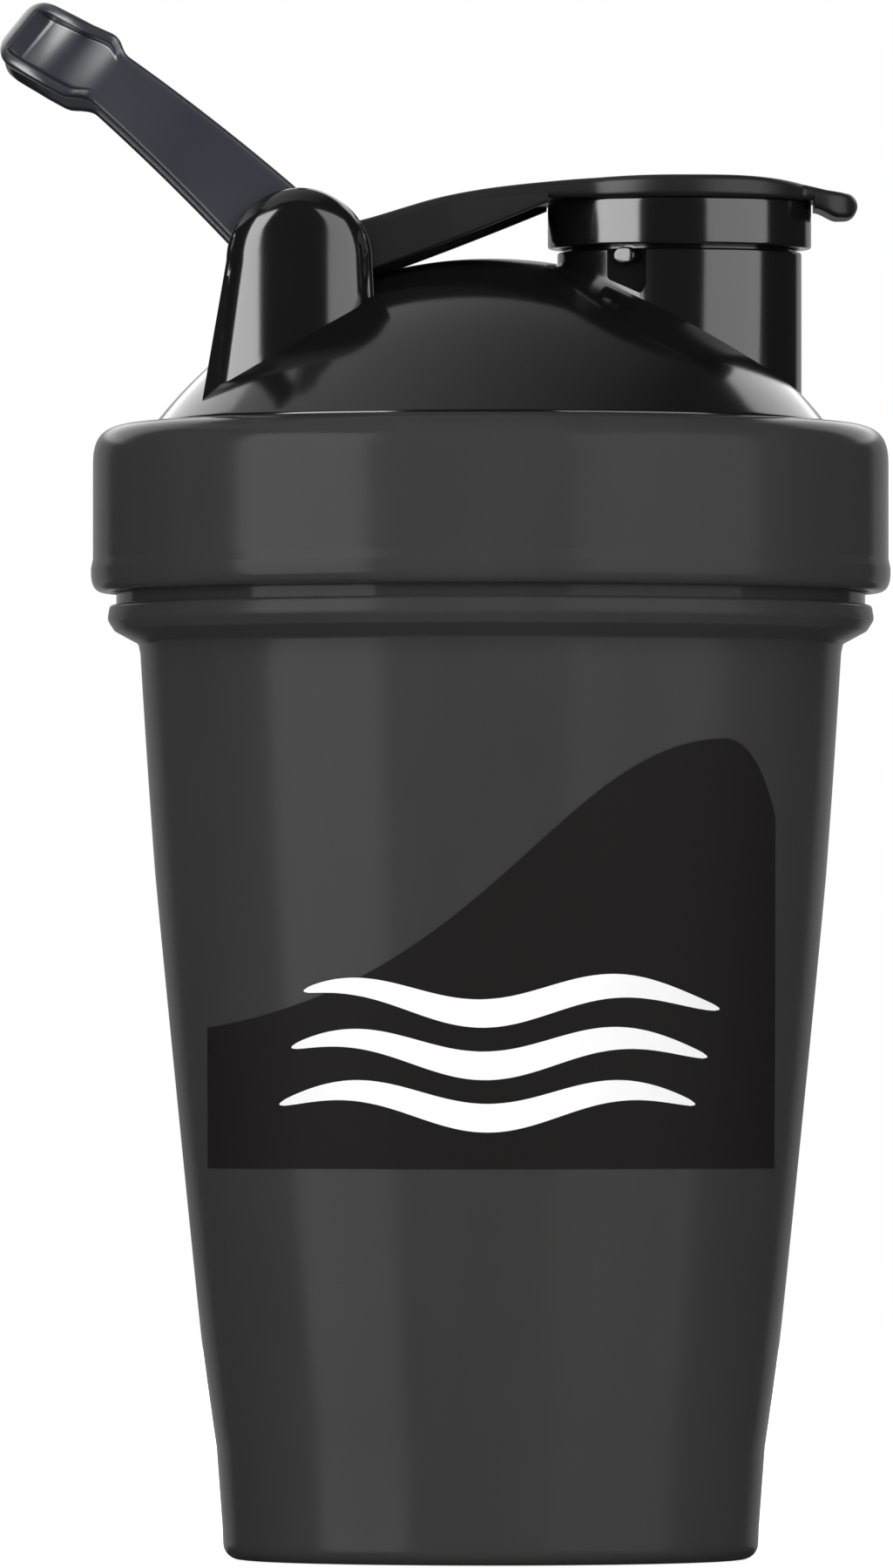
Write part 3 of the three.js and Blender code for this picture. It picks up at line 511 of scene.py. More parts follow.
def carved(piece, steps):
    """The piece with each (operation, other) step applied in turn; the others are used up."""
    for operation, other in steps:
        modifier = piece.modifiers.new(other.name, "BOOLEAN")
        modifier.solver = "EXACT"
        modifier.operation = operation
        modifier.object = other
    mesh = applied(piece)
    for _, other in steps:
        bpy.data.objects.remove(other)
    with opened(mesh) as shape:
        bmesh.ops.remove_doubles(shape, verts=shape.verts, dist=2e-6)
        bmesh.ops.dissolve_degenerate(shape, edges=shape.edges, dist=1e-6)
    return piece


def shaded(piece, sharpest=32):
    """Smooth shading that breaks at edges sharper than so many degrees."""
    piece.data.shade_smooth()
    piece.data.set_sharp_from_angle(angle=radians(sharpest))
    return piece


def settled(piece, material, body, slot, *nodes):
    """Gives a finished piece its material and body, and hides the frame nodes it stands for. The
    slot is not used.
    """
    piece.data.materials.clear()
    piece.data.materials.append(material)
    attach(piece, body)
    if nodes:
        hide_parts(*nodes)


# ---------------------------------------------------------------- node trees

class Nodes:
    """Adds nodes to one tree and links them."""

    def __init__(self, tree):
        self.tree = tree

    def feed(self, node, inputs):
        """Links the inputs that are sockets, and sets the value of the others."""
        for key, value in inputs.items():
            if isinstance(value, bpy.types.NodeSocket):
                self.tree.links.new(value, node.inputs[key])
            else:
                node.inputs[key].default_value = value

    def add(self, kind, inputs=None, **settings):
        """A new node with these settings and inputs."""
        node = self.tree.nodes.new(kind)
        for key, value in settings.items():
            setattr(node, key, value)
        self.feed(node, inputs or {})
        return node

    def out(self, kind, inputs=None, **settings):
        """The first output of a new node."""
        return self.add(kind, inputs, **settings).outputs[0]

    def math(self, operation, first, second=0.0, clamp=False):
        """A sum, product or the like of two values."""
        return self.out(
            "ShaderNodeMath", {0: first, 1: second}, operation=operation, use_clamp=clamp
        )


def new_shape_tree(name, **inputs):
    """A geometry tree with a geometry output and inputs that are given as kind=(name, name)."""
    tree = bpy.data.node_groups.new(name, "GeometryNodeTree")
    for kind, labels in inputs.items():
        for label in labels:
            tree.interface.new_socket(label, in_out="INPUT", socket_type="NodeSocket" + kind)
    tree.interface.new_socket("Geometry", in_out="OUTPUT", socket_type="NodeSocketGeometry")
    nodes = Nodes(tree)
    return tree, nodes, nodes.add("NodeGroupInput").outputs


def finish_shape_tree(nodes, geometry, material):
    """Ends a geometry tree with real geometry that carries its material."""
    real = nodes.out("GeometryNodeRealizeInstances", {0: geometry})
    smooth = nodes.out("GeometryNodeSetShadeSmooth", {0: real})
    dressed = nodes.out("GeometryNodeSetMaterial", {"Geometry": smooth, "Material": material})
    nodes.add("NodeGroupOutput", {0: dressed})


def baked(name, tree, values):
    """The result of a geometry tree with these input values, as a plain piece."""
    piece = placed(name, bpy.data.meshes.new(name + "_start"))
    modifier = piece.modifiers.new("shape", "NODES")
    modifier.node_group = tree
    for item in tree.interface.items_tree:
        if item.in_out == "INPUT" and item.name in values:
            modifier[item.identifier] = values[item.name]
    with opened(applied(piece)) as shape:
        bmesh.ops.recalc_face_normals(shape, faces=shape.faces)
    return piece


def thread_tree():
    """Helical ridges on a round wall, one for each start, that fade in and out at their ends."""
    tree, nodes, entry = new_shape_tree(
        "Thread ridges",
        Float=(
            "Wall Radius",
            "Side",
            "Lead",
            "Turns",
            "Depth",
            "Root Width",
            "Crest Width",
            "Sunk",
            "Start Height",
            "Edge Radius",
        ),
        Int=("Starts",),
        Material=("Material",),
    )
    height = nodes.math("MULTIPLY", entry["Lead"], entry["Turns"])
    helix = nodes.out(
        "GeometryNodeCurveSpiral",
        {
            "Resolution": 120,
            "Rotations": entry["Turns"],
            "Start Radius": entry["Wall Radius"],
            "End Radius": entry["Wall Radius"],
            "Height": height,
        },
    )
    upright = nodes.out("GeometryNodeSetCurveNormal", {0: helix}, mode="Z_UP")
    factor = nodes.add("GeometryNodeSplineParameter").outputs["Factor"]
    from_end = nodes.math("MINIMUM", factor, nodes.math("SUBTRACT", 1.0, factor))
    fade = nodes.out(
        "ShaderNodeMapRange",
        {"Value": from_end, "From Min": 0.0, "From Max": 0.07, "To Min": 0.3, "To Max": 1.0},
    )
    whole = nodes.math("ADD", entry["Depth"], entry["Sunk"])
    profile = nodes.out(
        "GeometryNodeCurvePrimitiveQuadrilateral",
        {
            "Height": whole,
            "Bottom Width": entry["Root Width"],
            "Top Width": entry["Crest Width"],
            "Offset": 0.0,
        },
        mode="TRAPEZOID",
    )
    lift = nodes.math("SUBTRACT", nodes.math("MULTIPLY", whole, 0.5), entry["Sunk"])
    place = nodes.out("ShaderNodeCombineXYZ", {"Y": lift})
    raised = nodes.out("GeometryNodeTransform", {0: profile, "Translation": place})
    lean = nodes.math("MULTIPLY", entry["Side"], pi / 2)
    tilt = nodes.out("ShaderNodeCombineXYZ", {"Z": lean})
    leaned = nodes.out("GeometryNodeTransform", {0: raised, "Rotation": tilt})
    soft = nodes.out(
        "GeometryNodeFilletCurve",
        {"Curve": leaned, "Count": 3, "Radius": entry["Edge Radius"]},
        mode="POLY",
    )
    ridge = nodes.out(
        "GeometryNodeCurveToMesh",
        {"Curve": upright, "Profile Curve": soft, "Scale": fade, "Fill Caps": True},
    )
    origin = nodes.out("ShaderNodeCombineXYZ", {"Z": entry["Start Height"]})
    stops = nodes.out(
        "GeometryNodeMeshLine",
        {"Count": entry["Starts"], "Start Location": origin, "Offset": (0, 0, 0)},
    )
    index = nodes.out("GeometryNodeInputIndex")
    share = nodes.math("DIVIDE", 2 * pi, entry["Starts"])
    spin = nodes.math("MULTIPLY", index, share)
    rotation = nodes.out("ShaderNodeCombineXYZ", {"Z": spin})
    copies = nodes.out(
        "GeometryNodeInstanceOnPoints",
        {"Points": stops, "Instance": ridge, "Rotation": rotation},
    )
    finish_shape_tree(nodes, copies, entry["Material"])
    return tree


def mark_tree():
    """Raised marks up the back of the cup, every fifth one long, each curved with the wall."""
    tree, nodes, entry = new_shape_tree(
        "Level marks",
        Vector=("Low Point", "Middle Point", "High Point"),
        Int=("Count", "Marks To A Long One"),
        Float=("Raise", "Short Sweep", "Long Sweep"),
        Material=("Material",),
    )
    line = nodes.out(
        "GeometryNodeCurveQuadraticBezier",
        {
            "Resolution": 64,
            "Start": entry["Low Point"],
            "Middle": entry["Middle Point"],
            "End": entry["High Point"],
        },
    )
    stops = nodes.out(
        "GeometryNodeCurveToPoints", {"Curve": line, "Count": entry["Count"]}
    )
    position = nodes.out("GeometryNodeInputPosition")
    split = nodes.add("ShaderNodeSeparateXYZ", {0: position}).outputs
    kept = nodes.out(
        "GeometryNodeStoreNamedAttribute",
        {"Geometry": stops, "Name": "wall_radius", "Value": split["X"]},
        data_type="FLOAT",
        domain="POINT",
    )
    on_axis = nodes.out("ShaderNodeCombineXYZ", {"Z": split["Z"]})
    centred = nodes.out("GeometryNodeSetPosition", {0: kept, "Position": on_axis})
    reach = nodes.out(
        "GeometryNodeInputNamedAttribute", {"Name": "wall_radius"}, data_type="FLOAT"
    )
    index = nodes.out("GeometryNodeInputIndex")
    remainder = nodes.math("MODULO", index, entry["Marks To A Long One"])
    is_long = nodes.math("LESS_THAN", remainder, 0.5)
    is_short = nodes.math("SUBTRACT", 1.0, is_long)
    parts = []
    for sweep, chosen in (("Short Sweep", is_short), ("Long Sweep", is_long)):
        start = nodes.math("SUBTRACT", pi / 2, nodes.math("MULTIPLY", entry[sweep], 0.5))
        bow = nodes.out(
            "GeometryNodeCurveArc",
            {"Resolution": 24, "Radius": 1.0, "Start Angle": start, "Sweep Angle": entry[sweep]},
        )
        section = nodes.out(
            "GeometryNodeCurvePrimitiveCircle", {"Resolution": 12, "Radius": entry["Raise"]}
        )
        bar = nodes.out(
            "GeometryNodeCurveToMesh",
            {"Curve": bow, "Profile Curve": section, "Fill Caps": True},
        )
        parts.append(
            nodes.out(
                "GeometryNodeInstanceOnPoints",
                {"Points": centred, "Selection": chosen, "Instance": bar, "Scale": reach},
            )
        )
    joined = nodes.add("GeometryNodeJoinGeometry")
    for part in parts:
        tree.links.new(part, joined.inputs[0])
    finish_shape_tree(nodes, joined.outputs[0], entry["Material"])
    return tree


def ball_tree():
    """One wire wound on a ball from pole to pole."""
    tree, nodes, entry = new_shape_tree(
        "Whisk wire",
        Vector=("Centre",),
        Float=("Path Radius", "Wire Radius", "Turns", "Pole Angle"),
        Material=("Material",),
    )
    line = nodes.out("GeometryNodeCurvePrimitiveLine", {"End": (0, 0, 1)})
    points = nodes.out("GeometryNodeResampleCurve", {"Curve": line, "Count": 640})
    factor = nodes.add("GeometryNodeSplineParameter").outputs["Factor"]
    double_pole = nodes.math("MULTIPLY", entry["Pole Angle"], 2.0)
    travel = nodes.math("SUBTRACT", pi, double_pole)
    first = nodes.math("SUBTRACT", pi, entry["Pole Angle"])
    polar = nodes.math("SUBTRACT", first, nodes.math("MULTIPLY", travel, factor))
    whole = nodes.math("MULTIPLY", entry["Turns"], 2 * pi)
    around = nodes.math("MULTIPLY", whole, factor)
    across = nodes.math("MULTIPLY", entry["Path Radius"], nodes.math("SINE", polar))
    place = nodes.out(
        "ShaderNodeCombineXYZ",
        {
            "X": nodes.math("MULTIPLY", across, nodes.math("COSINE", around)),
            "Y": nodes.math("MULTIPLY", across, nodes.math("SINE", around)),
            "Z": nodes.math("MULTIPLY", entry["Path Radius"], nodes.math("COSINE", polar)),
        },
    )
    centred = nodes.add("ShaderNodeVectorMath", {0: place, 1: entry["Centre"]}, operation="ADD")
    path = nodes.out(
        "GeometryNodeSetPosition", {0: points, "Position": centred.outputs[0]}
    )
    section = nodes.out(
        "GeometryNodeCurvePrimitiveCircle", {"Resolution": 16, "Radius": entry["Wire Radius"]}
    )
    wire = nodes.out(
        "GeometryNodeCurveToMesh",
        {"Curve": path, "Profile Curve": section, "Fill Caps": True},
    )
    finish_shape_tree(nodes, wire, entry["Material"])
    return tree


# ---------------------------------------------------------------- materials

def empty_material(name):
    """A new material and its empty node tree."""
    material = bpy.data.materials.new(name)
    material.use_nodes = True
    material.node_tree.nodes.clear()
    return material, Nodes(material.node_tree)


def new_finish(name):
    """A material, its nodes, its shader linked to the output, and the place on the piece."""
    material, nodes = empty_material(name)
    shader = nodes.add("ShaderNodeBsdfPrincipled", distribution="GGX")
    nodes.add("ShaderNodeOutputMaterial", {"Surface": shader.outputs[0]})
    return material, nodes, shader, nodes.add("ShaderNodeTexCoord").outputs["Object"]


def varied_colour(nodes, colour, factor, amount):
    """A colour that runs from a little darker to a little lighter with the factor."""
    dark = [c * (1 - amount) for c in colour] + [1.0]
    light = [c * (1 + amount) for c in colour] + [1.0]
    inputs = {"Factor": factor, "A": dark, "B": light}
    return nodes.add("ShaderNodeMix", inputs, data_type="RGBA").outputs["Result"]


def noise_at(nodes, place, size_mm, detail=2.0, stretch=(1.0, 1.0, 1.0)):
    """Noise whose features are about so many millimetres across."""
    mapped = nodes.out("ShaderNodeMapping", {"Vector": place, "Scale": stretch})
    inputs = {"Vector": mapped, "Scale": 1 / (size_mm * MM), "Detail": detail}
    return nodes.out("ShaderNodeTexNoise", inputs)


def remapped(nodes, value, from_low, from_high, to_low, to_high):
    """A value moved from one range to another, and held inside it."""
    names = ("Value", "From Min", "From Max", "To Min", "To Max")
    inputs = dict(zip(names, (value, from_low, from_high, to_low, to_high)))
    return nodes.out("ShaderNodeMapRange", inputs)


def bumped(nodes, height, strength, depth_mm, inputs=None):
    """A normal whose bumps are so many millimetres deep."""
    values = {"Height": height, "Strength": strength, "Distance": depth_mm * MM, **(inputs or {})}
    return nodes.out("ShaderNodeBump", values)


def moulded_plastic(
    name, colour, roughness, specular, grain, grain_depth, flow, waviness=0.0, polished_from=None
):
    """Moulded plastic: fine spark grain, faint flow streaks and a few rubbed, duller patches.

    Above polished_from, a height in millimetres, the grain gives way to a smooth mould face.
    """
    material, nodes, shader, place = new_finish(name)
    streaks = noise_at(nodes, place, 9.0, 3.0, (1.0, 1.0, 0.22))
    patches = noise_at(nodes, place, 26.0)
    fine = noise_at(nodes, place, grain)
    shade = nodes.math(
        "ADD", nodes.math("MULTIPLY", streaks, 0.6), nodes.math("MULTIPLY", patches, 0.4)
    )
    shade = remapped(nodes, shade, 0.35, 0.65, 0.0, 1.0)
    rubbed = remapped(nodes, patches, 0.4, 0.7, roughness * 0.92, roughness * 1.12)
    speck = nodes.math("MULTIPLY", nodes.math("SUBTRACT", fine, 0.5), roughness * 0.1)
    dull = nodes.math("ADD", rubbed, speck, clamp=True)
    if polished_from is not None:
        height = nodes.add("ShaderNodeSeparateXYZ", {0: place}).outputs["Z"]
        low, high = (polished_from - 0.2) * MM, (polished_from + 0.2) * MM
        dull = nodes.math("MULTIPLY", dull, remapped(nodes, height, low, high, 1.0, 0.4))
    broad = None
    if waviness > 0:
        broad = {"Normal": bumped(nodes, noise_at(nodes, place, 18.0, 1.0), 1.0, waviness)}
    looks = {
        "Base Color": varied_colour(nodes, colour, shade, flow),
        "Roughness": dull,
        "Normal": bumped(nodes, fine, 0.6, grain_depth, broad),
        "Specular IOR Level": specular,
    }
    nodes.feed(shader, looks)
    return material


def steel(name, colour, roughness, stretch):
    """Drawn steel: fine lines along the drawing direction and slight tarnish."""
    material, nodes, shader, place = new_finish(name)
    lines = noise_at(nodes, place, 0.5, 3.0, stretch)
    tarnish = noise_at(nodes, place, 8.0)
    looks = {
        "Base Color": varied_colour(nodes, colour, tarnish, 0.08),
        "Roughness": remapped(nodes, lines, 0.3, 0.7, roughness * 0.75, roughness * 1.3),
        "Normal": bumped(nodes, lines, 0.4, 0.01),
        "Metallic": 1.0,
    }
    nodes.feed(shader, looks)
    return material


def printed_film(name, colour, roughness):
    """Printed film or ink: even colour with the faint tooth of the print."""
    material, nodes, shader, place = new_finish(name)
    tooth = noise_at(nodes, place, 0.4)
    cloud = noise_at(nodes, place, 14.0)
    looks = {
        "Base Color": varied_colour(nodes, colour, cloud, 0.04),
        "Roughness": remapped(nodes, tooth, 0.3, 0.7, roughness * 0.9, roughness * 1.1),
        "Normal": bumped(nodes, tooth, 0.3, 0.004),
        "Specular IOR Level": 0.02,
    }
    nodes.feed(shader, looks)
    return material


def plastic(colour, roughness, specular, grain, grain_depth, flow, **more):
    """A row of FINISHES for moulded plastic. Grain and its depth are in millimetres."""
    values = {"roughness": roughness, "specular": specular, "grain": grain}
    return moulded_plastic, colour, {**values, "grain_depth": grain_depth, "flow": flow, **more}


FINISHES = {
    "cup_satin": plastic("cup", 0.22, 0.033, 0.35, 0.004, 0.05, polished_from=FLANGE_TOP - 0.3),
    "collar_satin": plastic("collar", 0.18, 0.040, 0.30, 0.003, 0.05),
    "dome_gloss": plastic("dome", 0.13, 0.5, 0.60, 0.0005, 0.08, waviness=0.02),
    "arm_satin": plastic("arm", 0.36, 0.20, 0.28, 0.008, 0.07),
    "loop_satin": plastic("loop", 0.33, 0.80, 0.30, 0.008, 0.08),
    "seal_silicone": plastic("seal", 0.58, 0.35, 0.50, 0.010, 0.05),
    "panel_print": (printed_film, "label", {"roughness": 0.55}),
    "wave_print": (printed_film, "ink", {"roughness": 0.5}),
    "pin_ground": (steel, "steel", {"roughness": 0.28, "stretch": (6.0, 0.15, 6.0)}),
    "wire_drawn": (steel, "steel", {"roughness": 0.16, "stretch": (1.0, 1.0, 1.0)}),
}


def finish(context, name):
    """The named finish, made the first time it is asked for."""
    made = bpy.data.materials.get(name)
    if made:
        return made
    make, colour, values = FINISHES[name]
    return make(name, getattr(context.scene.shaker.colours, colour), **values)


# ---------------------------------------------------------------- cup

SIDE_PULL = (0.63, 0.405)  # where the side's curve is pulled to, as shares of its run and rise
FOOT_RING = 8.0
FOOT_SLOPE = 0.6
HUB_RADIUS = 9.0
BASE_RECESS = 0.8
NECK_STEP = 1.4
NECK_WALL = 1.8
GRIP_OVERRUN = 6.0
CUTTER_HALF = 16
CUTTER_DEPTH = 20
SAME_FACING = 0.999995


def side_curve(cup, steps=56):
    """The cup's outer side from the foot's top to the shoulder."""
    low = (cup.foot_radius + cup.foot_flare, cup.foot_height)
    high = (SHOULDER_RADIUS, SHOULDER)
    pull = [a + (b - a) * share for a, b, share in zip(low, high, SIDE_PULL)]
    return bezier(low, pull, high, steps=steps)


def radii_at(curve, heights):
    """Radii of a (radius, height) curve at these heights."""
    return np.interp(heights, [p[1] for p in curve], [p[0] for p in curve])


def cup_outline(cup):
    """The cup's outline from the middle of its underside, over the rim, to the middle of its floor.

    The rows are (radius, height, rounding), and the odd numbers in them shape the beads.
    """
    ring = cup.foot_radius - FOOT_RING
    base = rounded(
        [
            (0, 0, 0),
            (HUB_RADIUS, 0, 0.3),
            (HUB_RADIUS + FOOT_SLOPE, BASE_RECESS, 0.3),
            (ring - FOOT_SLOPE, BASE_RECESS, 0.3),
            (ring, 0, 0.3),
            (cup.foot_radius, 0, 2.0),
            (cup.foot_radius + 0.15, 4.0, 0),
        ],
        6,
        closed=False,
    )
    flange = [
        (SHOULDER_RADIUS, SHOULDER, 0),
        (SHOULDER_RADIUS + 0.25, SHOULDER + 1.2, 0.5),
        (FLANGE_RADIUS - 0.9, SHOULDER + 2.8, 0.8),
        (FLANGE_RADIUS, SHOULDER + 4.2, 1.2),
        (FLANGE_RADIUS - 0.3, FLANGE_TOP, 0.4),
        (NECK_RADIUS + NECK_STEP, FLANGE_TOP, 0.12),
        (NECK_RADIUS + NECK_STEP, FLANGE_TOP + 2.2, 0.25),
        (NECK_RADIUS, FLANGE_TOP + 3.6, 0.3),
        (NECK_RADIUS, RIM, 0.5),
        (NECK_RADIUS - NECK_WALL, RIM, 0.5),
        (NECK_RADIUS - NECK_WALL, SHOULDER + 3.0, 1.0),
        (SHOULDER_RADIUS - cup.wall, SHOULDER, 0),
    ]
    inside = [(r - cup.wall, z) for r, z in reversed(side_curve(cup, 24))]
    inner_foot = cup.foot_radius + cup.foot_flare - cup.wall
    corner = [
        (inner_foot, cup.foot_height, 0),
        (inner_foot - FOOT_SLOPE, cup.floor, 3.0),
        (0, cup.floor, 0),
    ]
    outline = supported(base)
    outline += side_curve(cup)
    outline += supported(rounded(flange, 6, closed=False))[1:]
    outline += inside[1:]
    outline += supported(rounded(corner, 8, closed=False))[1:]
    return outline


def grip_line(cup):
    """Height and radius of the side where the flat grip starts and where it ends."""
    heights = (cup.grip_low, cup.grip_high)
    return heights, radii_at(side_curve(cup, 120), heights)


def grip_cutter(cup, side):
    """A slab whose inner face is the flat grip on one side of the cup."""
    (low, high), (near, far) = grip_line(cup)
    slope = (far - near) / (high - low)
    rings = []
    for z in (low - GRIP_OVERRUN, high + GRIP_OVERRUN):
        inner = near + slope * (z - low)
        outer = inner + CUTTER_DEPTH
        corners = ((inner, -1), (outer, -1), (outer, 1), (inner, 1))
        rings.append([(side * x, CUTTER_HALF * y, z) for x, y in corners])
    return skinned("grip_cutter", rings)


def mark_grips(piece, cup):
    """Makes the outline of each flat grip a crisp edge."""
    (low, high), (near, far) = grip_line(cup)
    facing = Vector((high - low, 0, near - far)).normalized()
    with opened(piece.data) as shape:
        for edge in shape.edges:
            normals = [face.normal for face in edge.link_faces]
            flats = [Vector((abs(n.x), n.y, n.z)).dot(facing) > SAME_FACING for n in normals]
            if len(flats) == 2 and flats[0] != flats[1]:
                edge.smooth = False


class SHAKER_OT_cup(bpy.types.Operator):
    """Cup with its flange, stepped neck, recessed base and flat side grips"""

    bl_idname = "shaker.cup"
    bl_label = "Cup"

    def execute(self, context):
        cup = sizes_of(context, "cup")
        piece = turned("cup_shell", cup_outline(cup))
        cuts = [("DIFFERENCE", grip_cutter(cup, side)) for side in (-1, 1)]
        shaded(carved(piece, cuts))
        mark_grips(piece, cup)
        settled(piece, finish(context, "cup_satin"), "cup", "cup_plastic", "cup_body")
        return {"FINISHED"}


class SHAKER_OT_threads(bpy.types.Operator):
    """Two-start threads on the cup's neck and inside the collar"""

    bl_idname = "shaker.threads"
    bl_label = "Threads"

    def execute(self, context):
        sizes = sizes_of(context, "thread")
        lid = sizes_of(context, "lid")
        tree = thread_tree()
        cup_rise = FLANGE_TOP + sizes.cup_rise
        collar_rise = cup_rise - sizes.collar_drop
        bore = COLLAR_RADIUS - lid.collar_wall
        places = [
            ("cup_thread", "cup", "cup_plastic", "cup_satin", NECK_RADIUS, 1.0, cup_rise),
            ("collar_thread", "lid", "collar_plastic", "collar_satin", bore, -1.0, collar_rise),
        ]
        for name, body, slot, look, wall, side, height in places:
            values = {
                "Wall Radius": wall * MM,
                "Side": side,
                "Lead": sizes.lead * MM,
                "Turns": sizes.sweep / (2 * pi),
                "Starts": sizes.starts,
                "Depth": sizes.depth * MM,
                "Root Width": sizes.root * MM,
                "Crest Width": sizes.crest * MM,
                "Sunk": 0.4 * MM,
                "Edge Radius": 0.25 * MM,
                "Start Height": height * MM,
                "Material": finish(context, look),
            }
            piece = shaded(baked(name, tree, values), 40)
            settled(piece, finish(context, look), body, slot)
        return {"FINISHED"}


class SHAKER_OT_marks(bpy.types.Operator):
    """Raised level marks up the back of the cup"""

    bl_idname = "shaker.marks"
    bl_label = "Level marks"

    def execute(self, context):
        cup = sizes_of(context, "cup")
        heights = (cup.mark_low, (cup.mark_low + cup.mark_high) / 2, cup.mark_high)
        radii = radii_at(side_curve(cup, 120), heights)
        pull = 2 * radii[1] - (radii[0] + radii[2]) / 2
        points = [(radii[0], heights[0]), (pull, heights[1]), (radii[2], heights[2])]
        names = ("Low Point", "Middle Point", "High Point")
        values = {name: (r * MM, 0.0, z * MM) for name, (r, z) in zip(names, points)}
        values["Count"] = cup.mark_count
        values["Marks To A Long One"] = 5
        values["Raise"] = cup.mark_raise / radii[1]
        values["Short Sweep"] = radians(9)
        values["Long Sweep"] = radians(16)
        values["Material"] = finish(context, "cup_satin")
        piece = shaded(baked("level_marks", mark_tree(), values), 50)
        settled(piece, finish(context, "cup_satin"), "cup", "cup_plastic")
        return {"FINISHED"}


# ---------------------------------------------------------------- label

FILM_GAP = 0.02
INK_GAP = 0.01
CREST_SHARE = 0.82  # where the panel's crest stands, as a share of its half width
WAVE_STEPS = 96
WAVE_BENDS = 1.5
WAVE_TIP = 0.06  # thickness of a wave's ends, as a share of its widest part
WAVE_FULLNESS = 0.55
WAVE_LEFT = -26.0
WAVE_RIGHT = 28.0
WAVE_SHIFT = 1.5
WAVE_PHASE = 0.35


def wrapped_sheet(name, cup, columns, inner, outer):
    """A thin sheet that follows the cup's front. Each column is (x, heights from low to high)."""
    side = side_curve(cup, 240)
    rings = []
    for x, heights in columns:
        places = list(zip(heights, radii_at(side, heights)))
        front = [(x, -sqrt((radius + outer) ** 2 - x * x), z) for z, radius in places]
        back = [(x, -sqrt((radius + inner) ** 2 - x * x), z) for z, radius in places]
        rings.append(front + back[::-1])
    return skinned(name, rings)


def panel_top(label):
    """The panel's upper edge from its left corner, over the crest, to its right corner."""
    half = LABEL_HIGH.x
    crest_x = half * CREST_SHARE
    crest = LABEL_HIGH.z
    rise = crest - label.left_top
    sweep = bezier(
        (-half, label.left_top),
        (0, label.left_top + rise * 0.16),
        (crest_x * 0.3, crest - rise * 0.02),
        (crest_x, crest),
        steps=72,
    )
    fall = bezier((crest_x, crest), (crest_x + 4, crest), (half, label.right_top), steps=14)
    return sweep + fall[1:]


def wave_columns(low, label, phase, left, right):
    """Columns of one wave: a stroke that thickens in the middle and thins to both ends."""
    columns = []
    for k in range(WAVE_STEPS + 1):
        share = k / WAVE_STEPS
        x = left + (right - left) * share
        centre = low + label.wave_swing * sin(2 * pi * WAVE_BENDS * share + phase)
        fullness = WAVE_TIP + (1 - WAVE_TIP) * sin(pi * share) ** WAVE_FULLNESS
        half = label.wave_width / 2 * fullness
        columns.append((x, np.linspace(centre - half, centre + half, 5)))
    return columns


class SHAKER_OT_label(bpy.types.Operator):
    """Printed front panel with three plain waves"""

    bl_idname = "shaker.label"
    bl_label = "Front panel"

    def execute(self, context):
        cup = sizes_of(context, "cup")
        label = sizes_of(context, "label")
        columns = [(x, np.linspace(LABEL_LOW.z, top, 40)) for x, top in panel_top(label)]
        film_top = FILM_GAP + label.film
        film = shaded(wrapped_sheet("label_panel", cup, columns, FILM_GAP, film_top))
        settled(film, finish(context, "panel_print"), "cup", "label_film", "front_label")
        ink_low = film_top + INK_GAP
        for k in range(3):
            low = label.wave_low + k * label.wave_pitch
            left = WAVE_LEFT + WAVE_SHIFT * k
            right = WAVE_RIGHT - WAVE_SHIFT * (2 - k)
            columns = wave_columns(low, label, WAVE_PHASE * k, left, right)
            sheet = wrapped_sheet(f"label_wave_{k + 1}", cup, columns, ink_low, ink_low + label.ink)
            settled(shaded(sheet), finish(context, "wave_print"), "cup", "label_film")
        return {"FINISHED"}


# ---------------------------------------------------------------- lid

COLLAR_LEDGE = 3.5
LIP_RUN = 1.7
LIP_RISE = 2.4
SHOULDER_FALL = 5.0
SHOULDER_RUN = 6.0
SEAL_WIDTH = 2.4
GROOVE_HALF = 0.35
GROOVE_DEPTH = 0.25
DOME_FOOT_STEP = 3.9
DOME_FOOT_RISE = 0.6
EAR_FOOT_RISE = 1.0
EAR_SPREAD_REAR = 3.2
EAR_SPREAD_FRONT = 0.9
# Corners of a snap pocket, with their rounding, from the cap's lower edge in the middle of the nub.
POCKET = (
    (2.35, -0.45, 0),
    (2.35, -5.0, 0.5),
    (1.7, -6.1, 0.3),
    (-2.45, -4.2, 0.7),
    (-2.45, -0.45, 0),
)
NUB_SHIFT = 0.45
NUB_DROP = 1.3
# A snap nub from the middle of its flat face to its root: share of its half size, and height.
NUB_FACE = (
    (0.0, 0.2),
    (0.4, 0.19),
    (0.7, 0.15),
    (0.88, 0.09),
    (0.97, -0.02),
    (1.0, -0.2),
    (1.0, -2.3),
    (0.0, -2.3),
)


